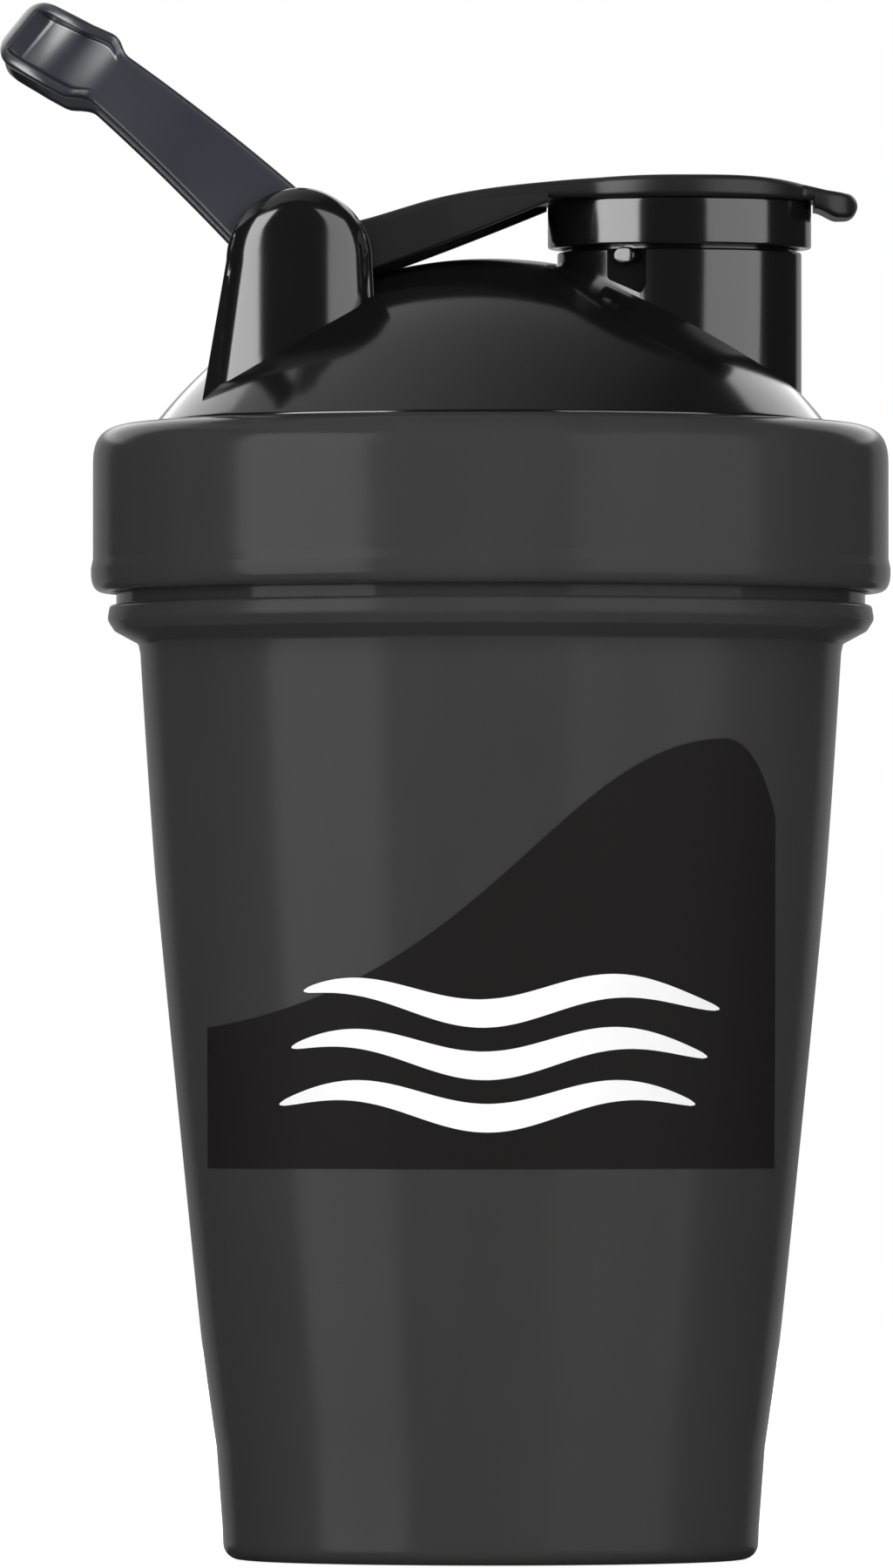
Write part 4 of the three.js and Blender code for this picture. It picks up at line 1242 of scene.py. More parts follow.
class SHAKER_OT_collar(bpy.types.Operator):
    """Screw collar with its rounded shoulder and bead"""

    bl_idname = "shaker.collar"
    bl_label = "Collar"

    def execute(self, context):
        lid = sizes_of(context, "lid")
        wall = COLLAR_RADIUS
        bore = wall - lid.collar_wall
        hole = NECK_RADIUS - COLLAR_LEDGE
        ceiling = COLLAR_TOP - COLLAR_CEILING
        lip_foot = (BEAD_RADIUS - LIP_RUN, COLLAR_LOW)
        lip_top = (BEAD_RADIUS, COLLAR_LOW + LIP_RISE)
        shoulder_foot = (wall, COLLAR_TOP - SHOULDER_FALL)
        shoulder_end = (wall - SHOULDER_RUN, COLLAR_TOP)
        lip = bezier(lip_foot, (BEAD_RADIUS, COLLAR_LOW), lip_top, steps=8)
        shoulder = bezier(
            shoulder_foot,
            (wall, COLLAR_TOP - 1.5),
            (wall - 1.2, COLLAR_TOP),
            shoulder_end,
            steps=16,
        )
        bead = rounded(
            [
                (*lip_top, 0),
                (BEAD_RADIUS, COLLAR_LOW + 3.0, 0.6),
                (wall, COLLAR_LOW + 4.2, 0.8),
                (*shoulder_foot, 0),
            ],
            4,
            closed=False,
        )
        inside = rounded(
            [
                (*shoulder_end, 0),
                (hole, COLLAR_TOP, 0.35),
                (hole, ceiling, 0.2),
                (bore, ceiling, 0.6),
                (bore, COLLAR_LOW, 0.5),
                (*lip_foot, 0),
            ],
            5,
            closed=False,
        )
        outline = lip + supported(bead)[1:] + shoulder[1:] + supported(inside)[1:-1]
        piece = shaded(turned("collar_shell", outline, 256, closed=True))
        settled(piece, finish(context, "collar_satin"), "lid", "collar_plastic", "lid_collar")
        return {"FINISHED"}


class SHAKER_OT_seal(bpy.types.Operator):
    """Silicone ring between the cup's rim and the lid"""

    bl_idname = "shaker.seal"
    bl_label = "Seal ring"

    def execute(self, context):
        inner = SEAL_RADIUS - SEAL_WIDTH
        groove = (SEAL_RADIUS + inner) / 2
        section = [
            (inner, SEAL_LOW, 0.3),
            (groove - GROOVE_HALF, SEAL_LOW, 0.1),
            (groove, SEAL_LOW + GROOVE_DEPTH, 0.1),
            (groove + GROOVE_HALF, SEAL_LOW, 0.1),
            (SEAL_RADIUS, SEAL_LOW, 0.3),
            (SEAL_RADIUS, SEAL_TOP, 0.3),
            (inner, SEAL_TOP, 0.3),
        ]
        piece = shaded(turned("seal_ring", rounded(section, 4), closed=True), 50)
        settled(piece, finish(context, "seal_silicone"), "lid_seal", "seal_rubber", "lid_seal_ring")
        return {"FINISHED"}


def dome_solid(name, radius, centre, foot_radius, foot, low, corner):
    """A part of a ball on a straight foot, closed underneath."""
    angles = [asin(foot_radius / radius) * k / 48 for k in range(49)]
    cap = [(radius * sin(a), centre + radius * cos(a)) for a in angles]
    below = rounded([(foot_radius, foot, 0), *corner, (0, low, 0)], 4, closed=False)
    return turned(name, cap + supported(below)[1:], 224)


def ear_outline(lid, inset):
    """An ear's side view, drawn in by an inset: (x, z) points from rear foot to front foot."""
    foot = COLLAR_TOP + EAR_FOOT_RISE
    rise = HINGE_Z - foot
    radius = lid.ear_radius - inset
    rear = [
        (HINGE_X - radius - EAR_SPREAD_REAR * (1 - k / 10), foot + rise * k / 10) for k in range(10)
    ]
    head = [(HINGE_X - radius * cos(a), HINGE_Z + radius * sin(a)) for a in np.linspace(0, pi, 41)]
    front = [
        (HINGE_X + radius + EAR_SPREAD_FRONT * k / 10, HINGE_Z - rise * k / 10) for k in range(1, 11)
    ]
    return rear + head + front


def ear(lid, side):
    """One hinge ear: a crowned cheek whose outer edge is well rounded."""
    crown_middle = lid.ear_outer - lid.ear_crown

    def face(x):
        return crown_middle + sqrt(max(lid.ear_crown**2 - (x - HINGE_X) ** 2, 0.0))

    inner = lid.ear_outer - lid.ear_wall
    soft = lid.ear_round
    rings = []
    for y in (inner, inner + 0.8):
        rings.append([(x, side * y, z) for x, z in ear_outline(lid, 0)])
    for k in range(13):
        angle = pi / 2 * k / 12
        drop = soft * (1 - sin(angle))
        least = inner + 1.0 + 0.01 * k
        outline = ear_outline(lid, soft * (1 - cos(angle)))
        rings.append([(x, side * max(face(x) - drop, least), z) for x, z in outline])
    spine_low = COLLAR_TOP + EAR_FOOT_RISE
    last = ear_outline(lid, soft)
    for share in (0.12, 0.25, 0.4, 0.55, 0.7, 0.85, 0.95):
        ring = []
        for x, z in last:
            spine = min(max(z, spine_low), HINGE_Z)
            px = x + (HINGE_X - x) * share
            ring.append((px, side * face(px), z + (spine - z) * share))
        rings.append(ring)
    return skinned("ear", rings)


def snap_pocket(lid, side, spout_radius):
    """A pocket cut straight into the spout's side, and the flat-faced nub that sits in it."""
    angle = lid.nub_angle
    outward = Vector((-sin(angle), side * cos(angle), 0))
    along = Vector((cos(angle), side * sin(angle), 0))
    up = Vector((0, 0, 1))
    edge = Vector((SPOUT_X, 0, CAP_LOW)) + outward * spout_radius
    outline = rounded(POCKET, 4)
    rings = []
    for y in (spout_radius + 1, lid.spout_bore - 0.5):
        rings.append([(edge.x + a, side * y, edge.z + b) for a, b in outline])
    pocket = skinned("pocket", rings)
    nub_at = edge - along * NUB_SHIFT - up * NUB_DROP
    rings = []
    for reach, height in NUB_FACE:
        ring = []
        for a in np.linspace(0, 2 * pi, 32, endpoint=False):
            across = along * (lid.nub_width * reach * cos(a))
            rise = up * (lid.nub_height * reach * sin(a))
            ring.append(tuple(nub_at + across + rise + outward * height))
        rings.append(ring if reach > 0 else [ring[0]])
    return pocket, skinned("nub", rings)


class SHAKER_OT_dome(bpy.types.Operator):
    """Glossy dome with its spout, hinge ears and snap pockets"""

    bl_idname = "shaker.dome"
    bl_label = "Dome"

    def execute(self, context):
        lid = sizes_of(context, "lid")
        foot_radius = NECK_RADIUS - DOME_FOOT_STEP
        centre = DOME_TOP - lid.dome_radius
        flange_top = DOME_LOW + 1.9
        foot = COLLAR_TOP + DOME_FOOT_RISE
        flange = [
            (foot_radius + 0.25, foot - 0.32, 1.6),
            (foot_radius + 0.25, flange_top, 0.3),
            (DOME_FLANGE_RADIUS, flange_top, 0.3),
            (DOME_FLANGE_RADIUS, DOME_LOW, 0.3),
        ]
        dome = dome_solid("dome_shell", lid.dome_radius, centre, foot_radius, foot, DOME_LOW, flange)
        inner_radius = lid.dome_radius - lid.dome_wall
        inner_foot = foot_radius - lid.dome_wall
        foot_height = centre + sqrt(inner_radius**2 - inner_foot**2) - 0.5
        low = DOME_LOW - 1
        corner = [(inner_foot, low, 0)]
        cavity = dome_solid("cavity", inner_radius, centre, inner_foot, foot_height, low, corner)
        neck = lid.spout_bore + lid.spout_wall
        spout_radius = neck + 1.0
        shoulder = CAP_LOW - 0.5
        foot_of_spout = COLLAR_TOP + 2
        spout_outline = rounded(
            [
                (0, foot_of_spout, 0),
                (spout_radius, foot_of_spout, 0),
                (spout_radius, shoulder, 0.25),
                (neck, shoulder, 0.1),
                (neck, SPOUT_TOP, 0.6),
                (0, SPOUT_TOP, 0),
            ],
            5,
            closed=False,
        )
        spout = turned("spout", supported(spout_outline), 128, SPOUT_X)
        bore_outline = [
            (0, foot_of_spout - 1),
            (lid.spout_bore, foot_of_spout - 1),
            (lid.spout_bore, SPOUT_TOP - 0.5),
            (lid.spout_bore + 0.15, SPOUT_TOP - 0.15),
            (lid.spout_bore + 0.6, SPOUT_TOP + 0.1),
            (lid.spout_bore + 0.6, SPOUT_TOP + 1),
            (0, SPOUT_TOP + 1),
        ]
        bore = turned("bore", bore_outline, 128, SPOUT_X)
        reach = PIN_HALF + 0.3
        hole = lid.pin_radius + PIN_PLAY
        sockets = round_bar("sockets", hole, -reach, reach, HINGE_X, HINGE_Z, 0.05, 32)
        steps = [("UNION", spout), ("UNION", ear(lid, -1)), ("UNION", ear(lid, 1))]
        steps += [("DIFFERENCE", cavity), ("DIFFERENCE", bore), ("DIFFERENCE", sockets)]
        for side in (-1, 1):
            pocket, nub = snap_pocket(lid, side, spout_radius)
            steps += [("DIFFERENCE", pocket), ("UNION", nub)]
        piece = shaded(carved(dome, steps), 24)
        settled(piece, finish(context, "dome_gloss"), "lid", "dome_plastic", "lid_dome")
        return {"FINISHED"}


class SHAKER_OT_spout_cap(bpy.types.Operator):
    """Cap over the spout with its skirt and plug"""

    bl_idname = "shaker.spout_cap"
    bl_label = "Spout cap"

    def execute(self, context):
        cap = sizes_of(context, "cap")
        lid = sizes_of(context, "lid")
        ceiling = CAP_TOP - cap.cap_top
        bore = CAP_RADIUS - cap.skirt_wall
        plug = lid.spout_bore - 0.4
        low = ceiling - cap.plug_depth
        corners = [
            (0, CAP_TOP, 0),
            (CAP_RADIUS, CAP_TOP, 0.25),
            (CAP_RADIUS, CAP_LOW, 0.35),
            (bore, CAP_LOW, 0.25),
            (bore, ceiling, 0.4),
            (plug, ceiling, 0.4),
            (plug, low, 0.5),
            (plug - cap.plug_wall, low, 0.4),
            (plug - cap.plug_wall, ceiling, 0.5),
            (0, ceiling, 0),
        ]
        outline = supported(rounded(corners, 4, closed=False))
        piece = shaded(turned("spout_cap_shell", outline, 160, SPOUT_X))
        settled(piece, finish(context, "dome_gloss"), "flip_cap", "dome_plastic", "spout_cap")
        return {"FINISHED"}


# ---------------------------------------------------------------- flip cap arm

NOSE = 1.5  # half the thickness of the tab's rounded nose
NOSE_DROP = 3.6
TAB_UNDERSIDE = 4.0
BEND_X = SPOUT_X - 29.5
ROOT_X = HINGE_X + 8
PLATE_FOOT_X = SPOUT_X - CAP_RADIUS
LIP_X = SPOUT_X + CAP_RADIUS + 0.3
PLATE_LOW = CAP_TOP + 0.02
PLATE_CROWN = 0.25
TOP_KNOTS = (
    (HINGE_X, HINGE_Z + 3.65),
    (ROOT_X, PLATE_TOP - 5.4),
    (BEND_X, PLATE_TOP - 2.6),
    (SPOUT_X - 15, PLATE_TOP - 0.6),
    (SPOUT_X, PLATE_TOP),
    (SPOUT_X + 14, PLATE_TOP - 0.6),
    (TAB_END - NOSE, PLATE_TOP - NOSE_DROP + NOSE),
)
STRAP_UNDERSIDE = (
    (HINGE_X, HINGE_Z + 1.5),
    (ROOT_X, PLATE_TOP - 7.4),
    (BEND_X, PLATE_TOP - 4.6),
    (PLATE_FOOT_X, PLATE_LOW),
)
RIB_TOP = (
    (HINGE_X - 1, HINGE_Z + 2.6),
    (ROOT_X, PLATE_TOP - 6.0),
    (BEND_X, PLATE_TOP - 3.4),
    (PLATE_FOOT_X - 0.05, CAP_TOP + 0.9),
)


def rounded_section(centre_y, half, low, high, radius):
    """A cross-section of the arm: (y, z) points of a rounded box."""
    radius = max(min(radius, (high - low) * 0.48, half * 0.48), 0.02)
    points = []
    corners = [
        (half - radius, low + radius, -90),
        (half - radius, high - radius, 0),
        (radius - half, high - radius, 90),
        (radius - half, low + radius, 180),
    ]
    for k, (y, z, start) in enumerate(corners):
        points += arc((y, z), radius, start, start + 90, 5)
        if k in (1, 3):
            edge = high if k == 1 else low
            following = corners[(k + 1) % 4][0]
            points += [(y + (following - y) * s, edge) for s in np.linspace(0, 1, 14)[1:-1]]
    return [(centre_y + y, z) for y, z in points]


def plate_half_width(cap, x):
    """Half the plate's width: strap, disc over the spout and thumb tab."""
    disc = sqrt(max(PLATE_RADIUS**2 - (x - SPOUT_X) ** 2, 0.0))
    if x < SPOUT_X:
        return min(smooth_max(disc, cap.half_width, 0.6), PLATE_RADIUS)
    corner = cap.tab_half_width * 0.6
    start = TAB_END - corner
    tab = cap.tab_half_width
    if x > start:
        tab += corner * (sqrt(max(1 - ((x - start) / corner) ** 2, 0.0)) - 1)
    return min(smooth_max(disc, tab, 0.5), PLATE_RADIUS) if x < start else tab


def plate_bottom(x):
    """Height of the plate's underside: strap, flat over the cap, and the thicker tab."""
    if x < PLATE_FOOT_X:
        return smooth_through(STRAP_UNDERSIDE, x)
    if x < LIP_X:
        return PLATE_LOW
    inner_low = PLATE_TOP - TAB_UNDERSIDE
    nose_low = PLATE_TOP - NOSE_DROP - NOSE
    return inner_low - (inner_low - nose_low) * eased(x, LIP_X, LIP_X + 3.0)


def arm_plate(cap):
    """The arm's top: strap from the hinge, disc over the cap and curled thumb tab."""
    nose_x = TAB_END - NOSE
    nose_z = PLATE_TOP - NOSE_DROP
    stations = list(np.linspace(HINGE_X, SPOUT_X + 10, 60))
    stations += sorted([*np.linspace(SPOUT_X + 10.4, nose_x, 50), LIP_X - 0.02, LIP_X + 0.02])
    rings = []
    for x in stations:
        low = plate_bottom(x)
        high = smooth_through(TOP_KNOTS, x)
        half = plate_half_width(cap, x)
        crown = -PLATE_CROWN * (1 - eased(x, nose_x - 3, nose_x))
        section = rounded_section(0, half, low, high, cap.edge)
        halfway = (low + high) / 2
        rings.append([(x, y, z + crown * (y / half) ** 2 * (z > halfway)) for y, z in section])
    for k in range(1, 9):
        angle = radians(84) * k / 8
        x = nose_x + NOSE * sin(angle)
        thick = NOSE * cos(angle)
        half = plate_half_width(cap, x) - 0.4 * (1 - cos(angle))
        section = rounded_section(0, half, nose_z - thick, nose_z + thick, cap.edge)
        rings.append([(x, y, z) for y, z in section])
    return skinned("arm_shell", rings)


def arm_rib(cap, side):
    """One side rib, from the barrel to the cap, with a rounded lower edge."""
    lower = bezier(
        (HINGE_X + 1.5, HINGE_Z - cap.barrel_radius * 0.9),
        (HINGE_X + 14, HINGE_Z + 0.6),
        (RIB_TOP[-1][0], CAP_TOP - 0.5),
        steps=40,
    )
    half = cap.rib / 2
    rings = []
    for x, low in lower:
        high = max(smooth_through(RIB_TOP, x), low + 1.0)
        section = rounded_section(side * (cap.half_width - half), half, low, high, 0.55)
        rings.append([(x, y, z) for y, z in section])
    return skinned("arm_rib", rings)


class SHAKER_OT_arm(bpy.types.Operator):
    """Flip cap arm: plate, side ribs, hinge barrel and thumb tab"""

    bl_idname = "shaker.arm"
    bl_label = "Flip cap arm"

    def execute(self, context):
        cap = sizes_of(context, "cap")
        lid = sizes_of(context, "lid")
        plate = arm_plate(cap)
        half = cap.half_width
        barrel = round_bar("barrel", cap.barrel_radius, -half, half, HINGE_X, HINGE_Z, 0.4)
        hole = lid.pin_radius + PIN_PLAY
        bore = round_bar("bore", hole, -half - 2, half + 2, HINGE_X, HINGE_Z, 0.1, 40)
        steps = [("UNION", arm_rib(cap, side)) for side in (-1, 1)]
        steps += [("UNION", barrel), ("DIFFERENCE", bore)]
        piece = shaded(carved(plate, steps), 30)
        settled(piece, finish(context, "arm_satin"), "flip_cap", "arm_plastic", "flip_cap_arm")
        return {"FINISHED"}


# ---------------------------------------------------------------- carry loop and pin

# Edges of the loop's side view, measured across its own line: the strap at the hinge, in its middle
# and at the grip, then the grip's own edges, and how much they change towards its far end.
STRAP_LOW = (-4.4, -1.7, -0.8)
STRAP_HIGH = (6.9, 7.3, 6.4)
EYE_HIGH = 4.4
EYE_END = 6.0
GRIP_LOW = -2.3
GRIP_LOW_RUN = -1.5
GRIP_HIGH = 7.8
GRIP_HIGH_RUN = -2.2
GRIP_END = 4.0


def quadratic(values, t):
    """A value on the quadratic Bezier curve through the first and last of three values."""
    return (1 - t) ** 2 * values[0] + 2 * t * (1 - t) * values[1] + t**2 * values[2]


def loop_edges(loop, u):
    """Lower and upper edge of the loop's side view at a distance from the hinge."""
    start = loop.pad_start
    low = quadratic(STRAP_LOW, min(max(u / start, 0.0), 1.0))
    high = EYE_HIGH + (STRAP_HIGH[0] - EYE_HIGH) * eased(u, 0.0, EYE_END)
    if u > EYE_END:
        high = quadratic(STRAP_HIGH, min((u - EYE_END) / (start - EYE_END), 1.0))
    out = eased(u, start - 0.8, start + 2.8)
    grip = start + 1.2
    along = min(max((u - grip) / (loop.reach - GRIP_END - grip), 0.0), 1.0)
    low += (GRIP_LOW + GRIP_LOW_RUN * along - STRAP_LOW[2]) * out
    high += (GRIP_HIGH + GRIP_HIGH_RUN * along - STRAP_HIGH[2]) * out
    return low, high


def loop_section(loop, thick, floor, low, high, lean):
    """The loop's cross-section: (thickness, height) points with a rimmed recess on its outside.

    Lean lowers the outer corners, which rounds the loop's far end.
    """
    rim = loop.rim
    slope = 0.35
    soft = 0.6 + lean
    return rounded(
        [
            (0, low, 0.7),
            (0, high, 0.7),
            (thick, high - lean, soft),
            (thick, high - lean - rim, 0.25),
            (floor, high - lean - rim - slope, 0.3),
            (floor, low + lean + rim + slope, 0.3),
            (thick, low + lean + rim, 0.25),
            (thick, low + lean, soft),
        ],
        4,
    )


def loop_stations(loop):
    """Stations along one half of the loop: inner-face point, outward direction and angle turned."""
    inner_y = LOOP_OUTER_Y - loop.wall
    turn_u = loop.reach - loop.corner
    turn_y = LOOP_OUTER_Y - loop.corner
    inner_radius = loop.corner - loop.wall
    near = loop.pad_start
    runs = ((0.0, near - 0.8, 26), (near - 0.5, near + 2.2, 14), (near + 2.8, turn_u - 0.3, 7))
    distances = [u for run in runs for u in np.linspace(*run)]
    stations = [((u, -inner_y), (0.0, -1.0), 0.0) for u in distances]
    for k in range(25):
        angle = pi / 2 * k / 24
        point = (turn_u + inner_radius * sin(angle), -turn_y - inner_radius * cos(angle))
        stations.append((point, (sin(angle), -cos(angle)), angle))
    for share in np.linspace(0, 1, 5)[1:]:
        stations.append(((loop.reach - loop.wall, -turn_y * (1 - share)), (1.0, 0.0), pi / 2))
    return stations


def swung(loop, u, y, n):
    """A point of the loop, given along, across and above its own line, in the bottle's frame."""
    return (
        HINGE_X + u * cos(loop.angle) + n * sin(loop.angle),
        y,
        HINGE_Z + u * sin(loop.angle) - n * cos(loop.angle),
    )


def loop_band(loop):
    """The whole U of the loop, from one eye round the grip to the other."""
    rings = []
    arm_thick = loop.wall - loop.recess
    for (u, v), (du, dv), angle in loop_stations(loop):
        low, high = loop_edges(loop, u)
        step = eased(u, loop.pad_start + 0.2, loop.pad_start + 2.4)
        thick = arm_thick + loop.recess * step
        floor = arm_thick - loop.scoop * eased(u, loop.pad_start - 0.5, loop.reach - loop.corner)
        floor += (loop.recess + loop.scoop) * eased(angle, radians(46), radians(58))
        floor = min(floor, thick)
        beyond = max(loop.corner * sin(angle) - loop.corner + loop.tip_round, 0.0)
        lean = loop.tip_round - sqrt(max(loop.tip_round**2 - beyond**2, 0.0))
        section = loop_section(loop, thick, floor, low, high, lean)
        rings.append([swung(loop, u + du * t, v + dv * t, n) for t, n in section])
    mirrored = [[(x, -y, z) for x, y, z in ring] for ring in rings[-2::-1]]
    return skinned("loop_shell", rings + mirrored)


class SHAKER_OT_loop(bpy.types.Operator):
    """Carry loop with its rimmed grip and hinge eyes"""

    bl_idname = "shaker.loop"
    bl_label = "Carry loop"

    def execute(self, context):
        loop = sizes_of(context, "loop")
        lid = sizes_of(context, "lid")
        inner = LOOP_OUTER_Y - loop.wall
        band = loop_band(loop)
        steps = []
        for low, high in ((inner, LOOP_OUTER_Y), (-LOOP_OUTER_Y, -inner)):
            eye = round_bar("eye", loop.eye_radius, low, high, HINGE_X, HINGE_Z, 0.4)
            steps.append(("UNION", eye))
        reach = LOOP_OUTER_Y + 2
        hole = lid.pin_radius + PIN_PLAY
        bore = round_bar("bore", hole, -reach, reach, HINGE_X, HINGE_Z, 0.1, 40)
        steps.append(("DIFFERENCE", bore))
        piece = shaded(carved(band, steps), 34)
        settled(piece, finish(context, "loop_satin"), "carry_loop", "loop_plastic", "carry_loop")
        return {"FINISHED"}


class SHAKER_OT_pin(bpy.types.Operator):
    """Steel hinge pin with chamfered ends"""

    bl_idname = "shaker.pin"
    bl_label = "Hinge pin"

    def execute(self, context):
        lid = sizes_of(context, "lid")
        chamfer = 0.35
        outline = [
            (0, -PIN_HALF),
            (lid.pin_radius - chamfer, -PIN_HALF),
            (lid.pin_radius, -PIN_HALF + chamfer),
            (lid.pin_radius, PIN_HALF - chamfer),
            (lid.pin_radius - chamfer, PIN_HALF),
            (0, PIN_HALF),
        ]
        piece = shaded(turned_across("pin_rod", outline, HINGE_X, HINGE_Z, 48))
        settled(piece, finish(context, "pin_ground"), "lid", "pin_steel", "hinge_pin")
        return {"FINISHED"}


# ---------------------------------------------------------------- whisk

class SHAKER_OT_whisk(bpy.types.Operator):
    """Wire whisk ball inside the cup"""

    bl_idname = "shaker.whisk"
    bl_label = "Whisk ball"

    def execute(self, context):
        whisk = sizes_of(context, "whisk")
        values = {
            "Centre": tuple(WHISK_CENTRE * MM),
            "Path Radius": (whisk.radius - whisk.wire) * MM,
            "Wire Radius": whisk.wire * MM,
            "Turns": whisk.turns,
            "Pole Angle": whisk.pole,
            "Material": finish(context, "wire_drawn"),
        }
        piece = shaded(baked("whisk_wire", ball_tree(), values), 50)
        settled(piece, finish(context, "wire_drawn"), "whisk", "whisk_steel", "whisk_ball")
        return {"FINISHED"}


# ---------------------------------------------------------------- stage

FLOOR_RADIUS = 2.6
FLOOR_DROP = 0.0002
FLOOR_GLOW = 0.93
ROOM_LIGHT = 0.03
LIGHT_AIM = (0.0, 0.0, 0.1)
# Name, azimuth and elevation in degrees, distance, width, height, radiance, and the rays that
# don't see the light. Azimuth 0 is the camera's side, and positive is towards +X.
KEY_LIGHTS = (
    ("left_box", -56.5, 4, 1.3, 1.0, 1.5, 10.0, "diffuse"),
    ("right_box", 53, 4, 1.3, 1.45, 1.5, 3.6, "diffuse"),
)
OTHER_LIGHTS = (
    ("back_box", 180, 4, 1.1, 1.6, 0.6, 0.45, "camera"),
    ("rim_left", -155, 27, 1.2, 0.8, 0.62, 2.0, "diffuse"),
    ("rim_right", 155, 27, 1.2, 0.8, 0.62, 2.0, "diffuse"),
    ("front_fill", 8, 25, 1.6, 1.8, 1.6, 3.5, "glossy"),
    ("side_fill", -70, 20, 1.6, 1.2, 1.4, 1.6, "glossy"),
    ("back_fill", 172, 22, 1.6, 1.8, 1.6, 2.4, "glossy"),
)
PANEL_HALF = 1.3
PANEL_FRONT = -0.7
PANEL_BACK = 1.1
PANEL_HEIGHT = 1.33
# The panel is bright up to the first x and dim past the second.
PANEL_FADE = (-0.6, 0.75)
PANEL_GLOW = (0.8, 0.04)
CAMERA_PLACE = (-0.0055, -2.3, 0.060)
CAMERA_AIM = (-0.0055, 0.0, 0.0964)
CAMERA_SENSOR = 36.0
CAMERA_LENS = 424.4
CAMERA_FAR = 20.0


def soft_box(name, azimuth, elevation, distance, width, height, radiance, unseen):
    """A rectangular studio light that faces the bottle."""
    light = bpy.data.lights.new(name, "AREA")
    light.shape = "RECTANGLE"
    light.size = width
    light.size_y = height
    light.energy = radiance * pi * width * height
    lamp = placed(name, light)
    around, up = radians(azimuth), radians(elevation)
    direction = Vector((sin(around) * cos(up), -cos(around) * cos(up), sin(up)))
    lamp.location = Vector(LIGHT_AIM) + direction * distance
    lamp.rotation_euler = direction.to_track_quat("Z", "Y").to_euler()
    lamp.visible_camera = False
    setattr(lamp, "visible_" + unseen, False)


def stage_sheet(name, points):
    """One flat face of the stage, with the empty nodes of its material."""
    mesh = bpy.data.meshes.new(name)
    mesh.from_pydata(points, [], [tuple(range(len(points)))])
    sheet = placed(name, mesh)
    material, nodes = empty_material(name)
    mesh.materials.append(material)
    return sheet, nodes


def studio_floor():
    """A pale round floor. It is brightened to camera rays, as a floor lit from far off would be."""
    angles = np.linspace(0, 2 * pi, 96, endpoint=False)
    points = [(FLOOR_RADIUS * cos(a), FLOOR_RADIUS * sin(a), -FLOOR_DROP) for a in angles]
    floor, nodes = stage_sheet("studio_floor", points)
    place = nodes.add("ShaderNodeTexCoord").outputs["Object"]
    tone = varied_colour(nodes, (0.80, 0.80, 0.80), noise_at(nodes, place, 30.0), 0.01)
    diffuse = nodes.out("ShaderNodeBsdfDiffuse", {"Color": tone})
    seen = nodes.add("ShaderNodeLightPath").outputs["Is Camera Ray"]
    strength = nodes.math("MULTIPLY", seen, FLOOR_GLOW)
    glow = nodes.out("ShaderNodeEmission", {"Strength": strength})
    both = nodes.out("ShaderNodeAddShader", {0: diffuse, 1: glow})
    nodes.add("ShaderNodeOutputMaterial", {"Surface": both})
    floor.visible_glossy = False


def graded_panel():
    """A glowing panel overhead that fades towards +X. It is seen in reflections only."""
    low, high = PANEL_FRONT, PANEL_BACK
    corners = [(-PANEL_HALF, low), (-PANEL_HALF, high), (PANEL_HALF, high), (PANEL_HALF, low)]
    panel, nodes = stage_sheet("graded_panel", [(x, y, PANEL_HEIGHT) for x, y in corners])
    place = nodes.add("ShaderNodeTexCoord").outputs["Object"]
    across = nodes.add("ShaderNodeSeparateXYZ", {0: place}).outputs["X"]
    fade = remapped(nodes, across, *PANEL_FADE, *PANEL_GLOW)
    glow = nodes.out("ShaderNodeEmission", {"Strength": fade})
    nodes.add("ShaderNodeOutputMaterial", {"Surface": glow})
    panel.visible_camera = False
    panel.visible_diffuse = False
    panel.visible_shadow = False


def studio_world(scene):
    """A dim room that is seen as plain white."""
    world = bpy.data.worlds.new("studio")
    scene.world = world
    world.use_nodes = True
    world.node_tree.nodes.clear()
    nodes = Nodes(world.node_tree)
    seen = nodes.add("ShaderNodeLightPath").outputs["Is Camera Ray"]
    strength = remapped(nodes, seen, 0.0, 1.0, ROOM_LIGHT, 1.0)
    white = {"Color": (1.0, 1.0, 1.0, 1.0), "Strength": strength}
    background = nodes.out("ShaderNodeBackground", white)
    nodes.add("ShaderNodeOutputWorld", {"Surface": background})


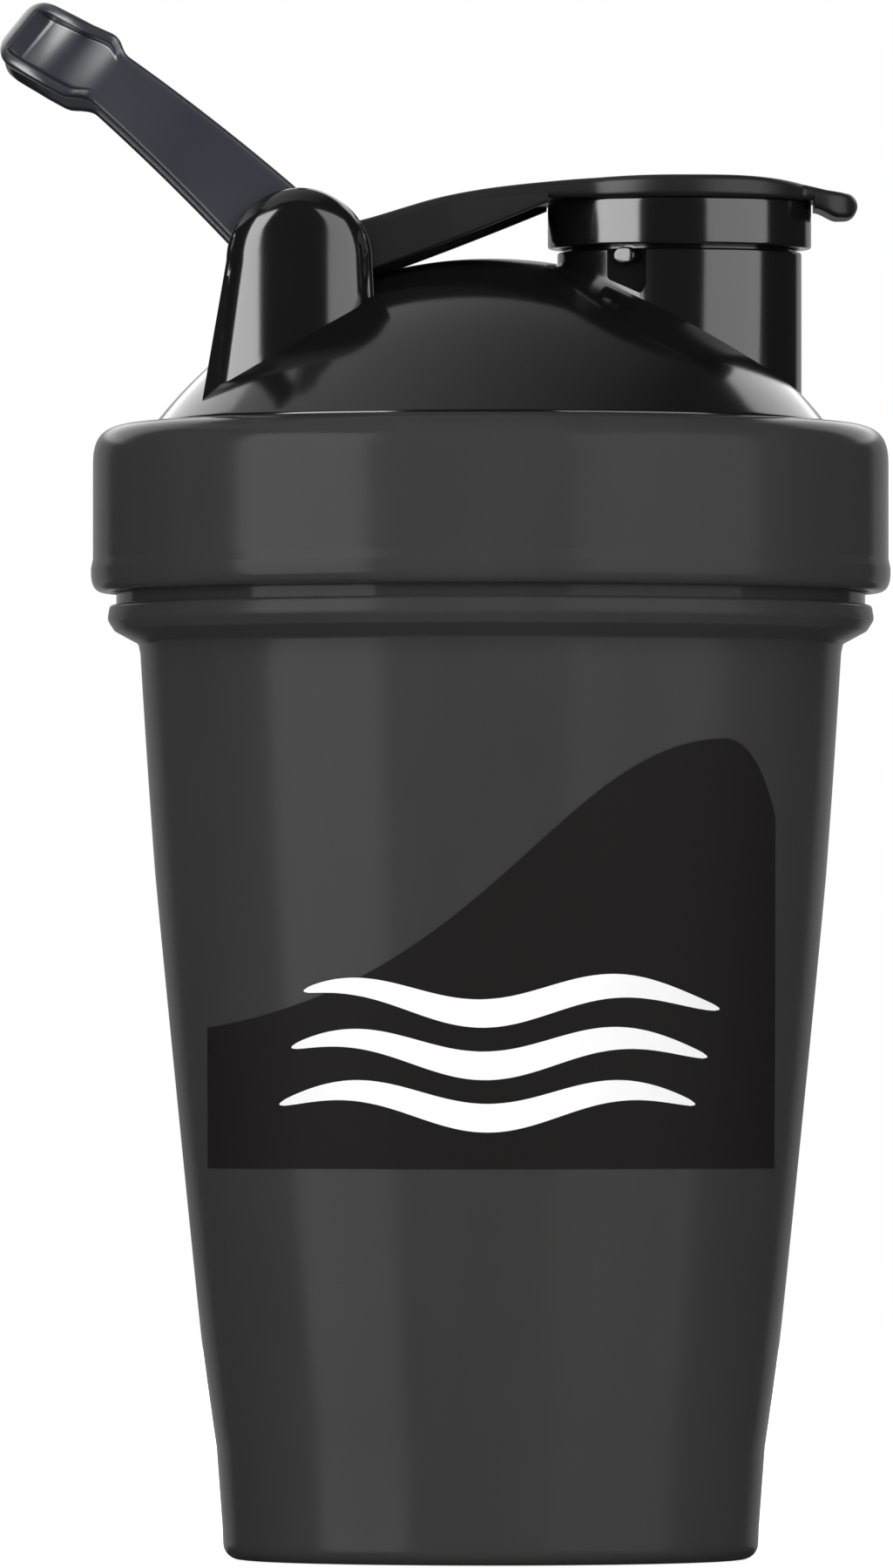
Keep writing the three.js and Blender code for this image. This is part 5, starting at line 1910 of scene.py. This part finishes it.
class SHAKER_OT_stage(bpy.types.Operator):
    """Pale floor, studio lights and camera"""

    bl_idname = "shaker.stage"
    bl_label = "Studio"

    def execute(self, context):
        scene = context.scene
        studio_floor()
        studio_world(scene)
        for light in KEY_LIGHTS:
            soft_box(*light)
        graded_panel()
        for light in OTHER_LIGHTS:
            soft_box(*light)
        data = bpy.data.cameras.new("camera")
        camera = placed("camera", data)
        camera.location = Vector(CAMERA_PLACE)
        towards = camera.location - Vector(CAMERA_AIM)
        camera.rotation_euler = towards.to_track_quat("Z", "Y").to_euler()
        data.sensor_width = CAMERA_SENSOR
        data.lens = CAMERA_LENS
        data.clip_end = CAMERA_FAR
        scene.camera = camera
        scene.view_settings.view_transform = "Standard"
        return {"FINISHED"}


# ---------------------------------------------------------------- add-on

OPERATORS = (
    SHAKER_OT_cup,
    SHAKER_OT_threads,
    SHAKER_OT_marks,
    SHAKER_OT_label,
    SHAKER_OT_collar,
    SHAKER_OT_seal,
    SHAKER_OT_dome,
    SHAKER_OT_spout_cap,
    SHAKER_OT_arm,
    SHAKER_OT_loop,
    SHAKER_OT_pin,
    SHAKER_OT_whisk,
    SHAKER_OT_stage,
)


class SHAKER_PT_panel(bpy.types.Panel):
    """Buttons and sizes of the shaker bottle"""

    bl_idname = "SHAKER_PT_panel"
    bl_label = "Shaker bottle"
    bl_space_type = "VIEW_3D"
    bl_region_type = "UI"
    bl_category = "Shaker"

    def draw(self, context):
        for operator in OPERATORS:
            self.layout.operator(operator.bl_idname)
        for group, kind in GROUPS.items():
            box = self.layout.box()
            box.label(text=group.capitalize())
            settings = getattr(context.scene.shaker, group)
            for name in kind.__annotations__:
                box.prop(settings, name)


CLASSES = (*GROUPS.values(), ShakerSettings, *OPERATORS, SHAKER_PT_panel)


def register():
    for kind in CLASSES:
        bpy.utils.register_class(kind)
    bpy.types.Scene.shaker = PointerProperty(type=ShakerSettings)


def unregister():
    del bpy.types.Scene.shaker
    for kind in reversed(CLASSES):
        bpy.utils.unregister_class(kind)


def main():
    register()
    for operator in OPERATORS:
        getattr(bpy.ops.shaker, operator.bl_idname.split(".")[1])()


if __name__ == "__main__":
    main()
